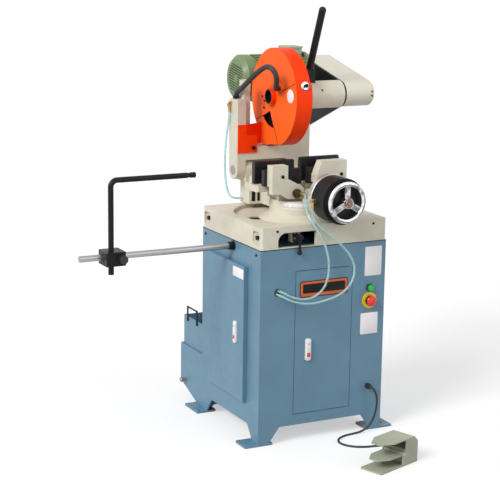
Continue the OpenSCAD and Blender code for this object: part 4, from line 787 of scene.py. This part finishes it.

# Painted shade: a dark skin on the boss of the mitre lever, where the boss lies in shade, open around the
# lever's hub
BOSS_LOW, BOSS_HIGH, SKIN = (-125, -224, 747), (-91, -194, 787), 0.6
HUB_LOW, HUB_HIGH = (-119, 759.5), (-97, 781.5)
x0, y0, z0 = (v - SKIN for v in BOSS_LOW)
x1, y1, z1 = BOSS_HIGH[0] + SKIN, BOSS_HIGH[1], BOSS_HIGH[2]
y_in = y0 + SKIN
piece = Piece()
piece.box((x0, y0, z0), (HUB_LOW[0], y_in, z1))
piece.box((HUB_HIGH[0], y0, z0), (x1, y_in, z1))
piece.box((HUB_LOW[0], y0, z0), (HUB_HIGH[0], y_in, HUB_LOW[1]))
piece.box((HUB_LOW[0], y0, HUB_HIGH[1]), (HUB_HIGH[0], y_in, z1))
piece.box((x0, y_in, z0), (x0 + SKIN, y1, z1))
piece.box((x1 - SKIN, y_in, z0), (x1, y1, z1))
piece.done("lever_boss_shade", "black", "base", "black_paint")

# Grommet of the air tubes
GROMMET_LOW, GROMMET_HIGH, GROMMET_R, GROMMET_T, GROMMET_EDGE = (-202, 558), (-180, 586), 10, 1.4, 0.5
grommet = rounded(GROMMET_LOW, GROMMET_HIGH, GROMMET_R)
Piece().slab(grommet, "Y", FRONT, FRONT - GROMMET_T, GROMMET_EDGE).done(
    "tube_grommet", "plastic", "base", "black_plastic")

# Scale on the turret's ring, with spans and steps in degrees
SWIVEL = PIVOT["swivel"]
RING_R, SCALE_T, SCALE_LOW, SCALE_HIGH = 110.0, 0.6, 846, 868
SCALE_SPAN, TICK_SPAN, TICK_STEP, LONG_TICK_STEP = 62, 60, 2, 10
SHORT_TICK, LONG_TICK, TICK_W, TICK_T, TICK_LIFT = 7, 13, 0.9, 0.15, 2
SCALE_R = RING_R + SCALE_T


def on_ring(degrees, radius, z):
    """A place around the swivel, and the ways out and across from there."""
    t = math.radians(degrees)
    out = Vector((math.sin(t), -math.cos(t), 0))
    return Vector((SWIVEL.x, SWIVEL.y, z)) + radius * out, out, Vector((math.cos(t), math.sin(t), 0))


piece = Piece()
angles = range(-SCALE_SPAN, SCALE_SPAN + 1, TICK_STEP)
section = ((RING_R, SCALE_LOW), (SCALE_R, SCALE_LOW), (SCALE_R, SCALE_HIGH), (RING_R, SCALE_HIGH))
rows = [[piece.mesh.verts.new(on_ring(angle, r, z)[0]) for angle in angles] for r, z in section]
for a, b in zip(rows, rows[1:]):
    for k in range(len(angles) - 1):
        piece.mesh.faces.new((a[k], a[k + 1], b[k + 1], b[k]))
piece.done("scale_band", "label", "turret", "white_plastic")
piece = Piece()
for angle in range(-TICK_SPAN, TICK_SPAN + 1, TICK_STEP):
    foot, out, across = on_ring(angle, SCALE_R, SCALE_LOW + TICK_LIFT)
    half = TICK_W / 2 * across
    up = Vector((0, 0, SHORT_TICK if angle % LONG_TICK_STEP else LONG_TICK))
    corners = [foot - half, foot + half, foot + half + up, foot - half + up]
    low = [piece.mesh.verts.new(c) for c in corners]
    top = [piece.mesh.verts.new(c + TICK_T * out) for c in corners]
    piece.mesh.faces.new(top)
    piece.skin([low, top], ends=False)
piece.done("scale_ticks", "black", "turret", "black_paint")

# Vice: screws in the jaw arms, nut of the handwheel, bright band on the cylinder's back end
JAW_FACE = lowest("vice_slide").y
JAW_SCREW_PLACES, JAW_SCREW_R, JAW_SCREW_H = ((-113, 968), (132, 964)), 6.5, 3
WHEEL_NUT_PROFILE = [(0, 15), (3, 15), (5, 13), (5, 7), (9, 7), (10.5, 5.5)]
CYLINDER_R, CYLINDER_BACK = highest("air_cylinder").x - SCREW_X, highest("air_cylinder").y
BAND_GAP, BAND_T, BAND_END, BAND_EDGE = 0.2, 1.4, 25, 1
band_in, band_out = CYLINDER_R - BAND_GAP, CYLINDER_R + BAND_T
add_screws("jaw_screws", "vice_jaw", [((x, JAW_FACE, z), FORWARD) for x, z in JAW_SCREW_PLACES],
           JAW_SCREW_R, JAW_SCREW_H)
Piece().turned((SCREW_X, lowest("handwheel").y, SCREW_Z), FORWARD, WHEEL_NUT_PROFILE).done(
    "wheel_nut", "bronze", "vice_screw", "brass")
Piece().band((SCREW_X, CYLINDER_BACK, SCREW_Z), FORWARD, [
    (BAND_GAP, band_in), (BAND_GAP, band_out), (BAND_END - BAND_EDGE, band_out),
    (BAND_END, band_out - BAND_EDGE), (BAND_END, band_in)]).done("cylinder_band", "alloy", "base", "steel")

# Guards: dark seams on the left faces, with ends measured from the spindle
GUARD_LEFT, UPPER_LEFT = lowest("front_guard").x, -25
SEAM_W, SEAM_T = 2.4, 0.4
SEAM_ANGLE, SEAM_OUT, SEAM_IN = math.radians(21), 184, 81
FRONT_TOP = Vector((-math.cos(SEAM_ANGLE), math.sin(SEAM_ANGLE)))
FRONT_FOOT = (Vector((-12.5, -119.3)), Vector((-45, -177.4)))
UPPER_FOOT = (Vector((145, -106.2)), Vector((89, -82.7)))


def seam(piece, face, start, end):
    """A dark strip to the right of the way from start to end."""
    way = (end - start).normalized()
    side = SEAM_W * Vector((way.y, -way.x))
    corners = [Vector((SPINDLE_Y, SPINDLE_Z)) + c for c in (start, end, end + side, start + side)]
    return piece.slab(corners, "X", face, face - SEAM_T)


piece = seam(Piece(), GUARD_LEFT, SEAM_OUT * FRONT_TOP, SEAM_IN * FRONT_TOP)
seam(piece, GUARD_LEFT, *FRONT_FOOT).done("front_guard_seams", "black", "front_guard", "black_paint")
seam(Piece(), UPPER_LEFT, *UPPER_FOOT).done("upper_guard_seam", "black", "head", "black_paint")

# Guards: liner of the hub, screws beside it, bare disc and bracket bolt
GUARD_BOSS_END = lowest("upper_guard").x
LIP_T, LIP_R, LINER_R, LINER_BORE, LINER_END = 0.6, 27.2, 24.9, 23.4, 21
HUB_SCREW_PLACES, HUB_SCREW_R, HUB_SCREW_H = ((212.6, 1221.8), (193.9, 1205.7), (199, 1180.1)), 4.5, 2.5
DISC_Y, DISC_Z, DISC_SIDES = -9, 1244.4, 48
DISC_PROFILE = [(0, 25), (0.4, 25), (0.6, 24.6)]
BOLT_PLACE, BOLT_R, BOLT_H = (-82, 177, 1032), 8, 5
Piece().band((GUARD_BOSS_END - LIP_T, SPINDLE_Y, SPINDLE_Z), RIGHTWARD, [
    (0, LINER_BORE), (0, LIP_R), (LIP_T, LIP_R), (LIP_T, LINER_R), (LINER_END, LINER_R),
    (LINER_END, LINER_BORE)]).done("hub_liner", "black", "head", "black_paint")
add_screws("hub_screws", "head", [((GUARD_LEFT, y, z), LEFTWARD) for y, z in HUB_SCREW_PLACES],
           HUB_SCREW_R, HUB_SCREW_H)
Piece().turned((GUARD_LEFT, DISC_Y, DISC_Z), LEFTWARD, DISC_PROFILE, DISC_SIDES).done(
    "bare_disc", "label", "front_guard", "white_plastic")
add_screws("bracket_bolt", "head", [(BOLT_PLACE, FORWARD)], BOLT_R, BOLT_H)

# Around the spindle, at degrees up from the front: rim screw, plug of the gear housing, nose screws
RIM_X, RIM_R, RIM_ANGLE = 10, 185.5, 17
WASHER_T, WASHER_SIDES, RIM_SCREW_R, RIM_SCREW_H = 4.6, 40, 7.5, 9
WASHER_PROFILE = [(-1, 17), (1.6, 17), (3.4, 15.5), (WASHER_T, 12), (WASHER_T, 6)]
HOUSING_R, PLUG_X, PLUG_ANGLE, PLUG_R, PLUG_H = SPINDLE_Z - lowest("gear_housing").z, 156, 24, 4, 1.5
NOSE_R, NOSE_X, NOSE_ANGLES, NOSE_SCREW_R, NOSE_SCREW_H = 50, 375, (10, -8), 3.5, 2


def on_drum(x, radius, degrees):
    """A place around the spindle, and the way out from there."""
    t = math.radians(degrees)
    out = Vector((0, -math.cos(t), math.sin(t)))
    return Vector((x, SPINDLE_Y, SPINDLE_Z)) + radius * out, out


Piece().turned(*on_drum(RIM_X, RIM_R, RIM_ANGLE), WASHER_PROFILE, WASHER_SIDES).done(
    "rim_washer", "chrome", "front_guard", "chrome")
add_screws("rim_screw", "front_guard", [on_drum(RIM_X, RIM_R + WASHER_T, RIM_ANGLE)],
           RIM_SCREW_R, RIM_SCREW_H)
add_screws("housing_plug", "head", [on_drum(PLUG_X, HOUSING_R, PLUG_ANGLE)], PLUG_R, PLUG_H)
add_screws("cover_screws", "head", [on_drum(NOSE_X, NOSE_R, angle) for angle in NOSE_ANGLES],
           NOSE_SCREW_R, NOSE_SCREW_H)

# Coolant: hexagon nut of the hose, stem and lever of the tap
HOSE_X, HOSE_Y, NUT_SIDES = -130, 232, 6
HOSE_NUT_PROFILE = [(0, 13), (9, 13), (10, 12.4), (10, 10.2)]
TAP_X, TAP_Y = ROUTES["coolant_tube"][0][:2]
TAP_TOP = highest("coolant_tap").z
STEM_PROFILE, STEM_SIDES, STEM_H = [(0, 4.2), (5, 4.2), (6, 3.4)], 16, 6
LEVER_HALF, LEVER_FRONT, LEVER_BACK, LEVER_R, LEVER_T, LEVER_EDGE = 4, 14, 6, 3.5, 3, 0.8
Piece().turned((HOSE_X, HOSE_Y, lowest("coolant_hose").z), UPWARD, HOSE_NUT_PROFILE, NUT_SIDES).done(
    "hose_nut", "black", "head", "black_paint")
piece = Piece().turned((TAP_X, TAP_Y, TAP_TOP), UPWARD, STEM_PROFILE, STEM_SIDES)
lever = rounded((TAP_X - LEVER_HALF, TAP_Y - LEVER_FRONT),
                (TAP_X + LEVER_HALF, TAP_Y + LEVER_BACK), LEVER_R)
piece.slab(lever, "Z", TAP_TOP + STEM_H, TAP_TOP + STEM_H + LEVER_T, LEVER_EDGE)
piece.done("tap_lever", "brass", "head", "brass")

# Motor: painted shade behind the fan grille, a dark disc that darkens the slots where the inside of the fan
# cover lies in shade
MOTOR_Y, MOTOR_Z = PIVOT["motor_spin"].yz
SHADE_DEPTH, SHADE_R, SHADE_BORE, SHADE_T = 3.6, 72, 8, 0.8
Piece().band((lowest("fan_cover").x + SHADE_DEPTH, MOTOR_Y, MOTOR_Z), RIGHTWARD, [
    (0, SHADE_BORE), (0, SHADE_R), (SHADE_T, SHADE_R), (SHADE_T, SHADE_BORE)]).done(
    "fan_shade_disc", "plastic", "head", "black_plastic")

# Column: two dark strips on its front face, painted shade that stands for the darker stripes where that face
# lies in shadow
COLUMN_FRONT, STRIP_LOW, STRIP_HIGH, STRIP_R, STRIP_T = 177, 826, 898, 2, 0.8
STRIP_SIDES = ((-86, -71), (-62, -51))
piece = Piece()
for left, right in STRIP_SIDES:
    piece.slab(rounded((left, STRIP_LOW), (right, STRIP_HIGH), STRIP_R), "Y", COLUMN_FRONT,
               COLUMN_FRONT - STRIP_T, PLATE_EDGE)
piece.done("column_shade_strips", "black", "turret", "black_paint")

# Drain plug of the tank holder
DRAIN_PLUG_Y, DRAIN_PLUG_Z, DRAIN_PLUG_SIDES = 392, 80, 16
DRAIN_PLUG_PROFILE = [(0, 11), (3, 11), (3, 7.5), (12, 7.5), (12, 10), (22, 10), (23, 9), (23, 4)]
Piece().turned((lowest("tank_holder").x, DRAIN_PLUG_Y, DRAIN_PLUG_Z), LEFTWARD, DRAIN_PLUG_PROFILE,
               DRAIN_PLUG_SIDES).done("tank_plug", "steel_x", "base", "steel")
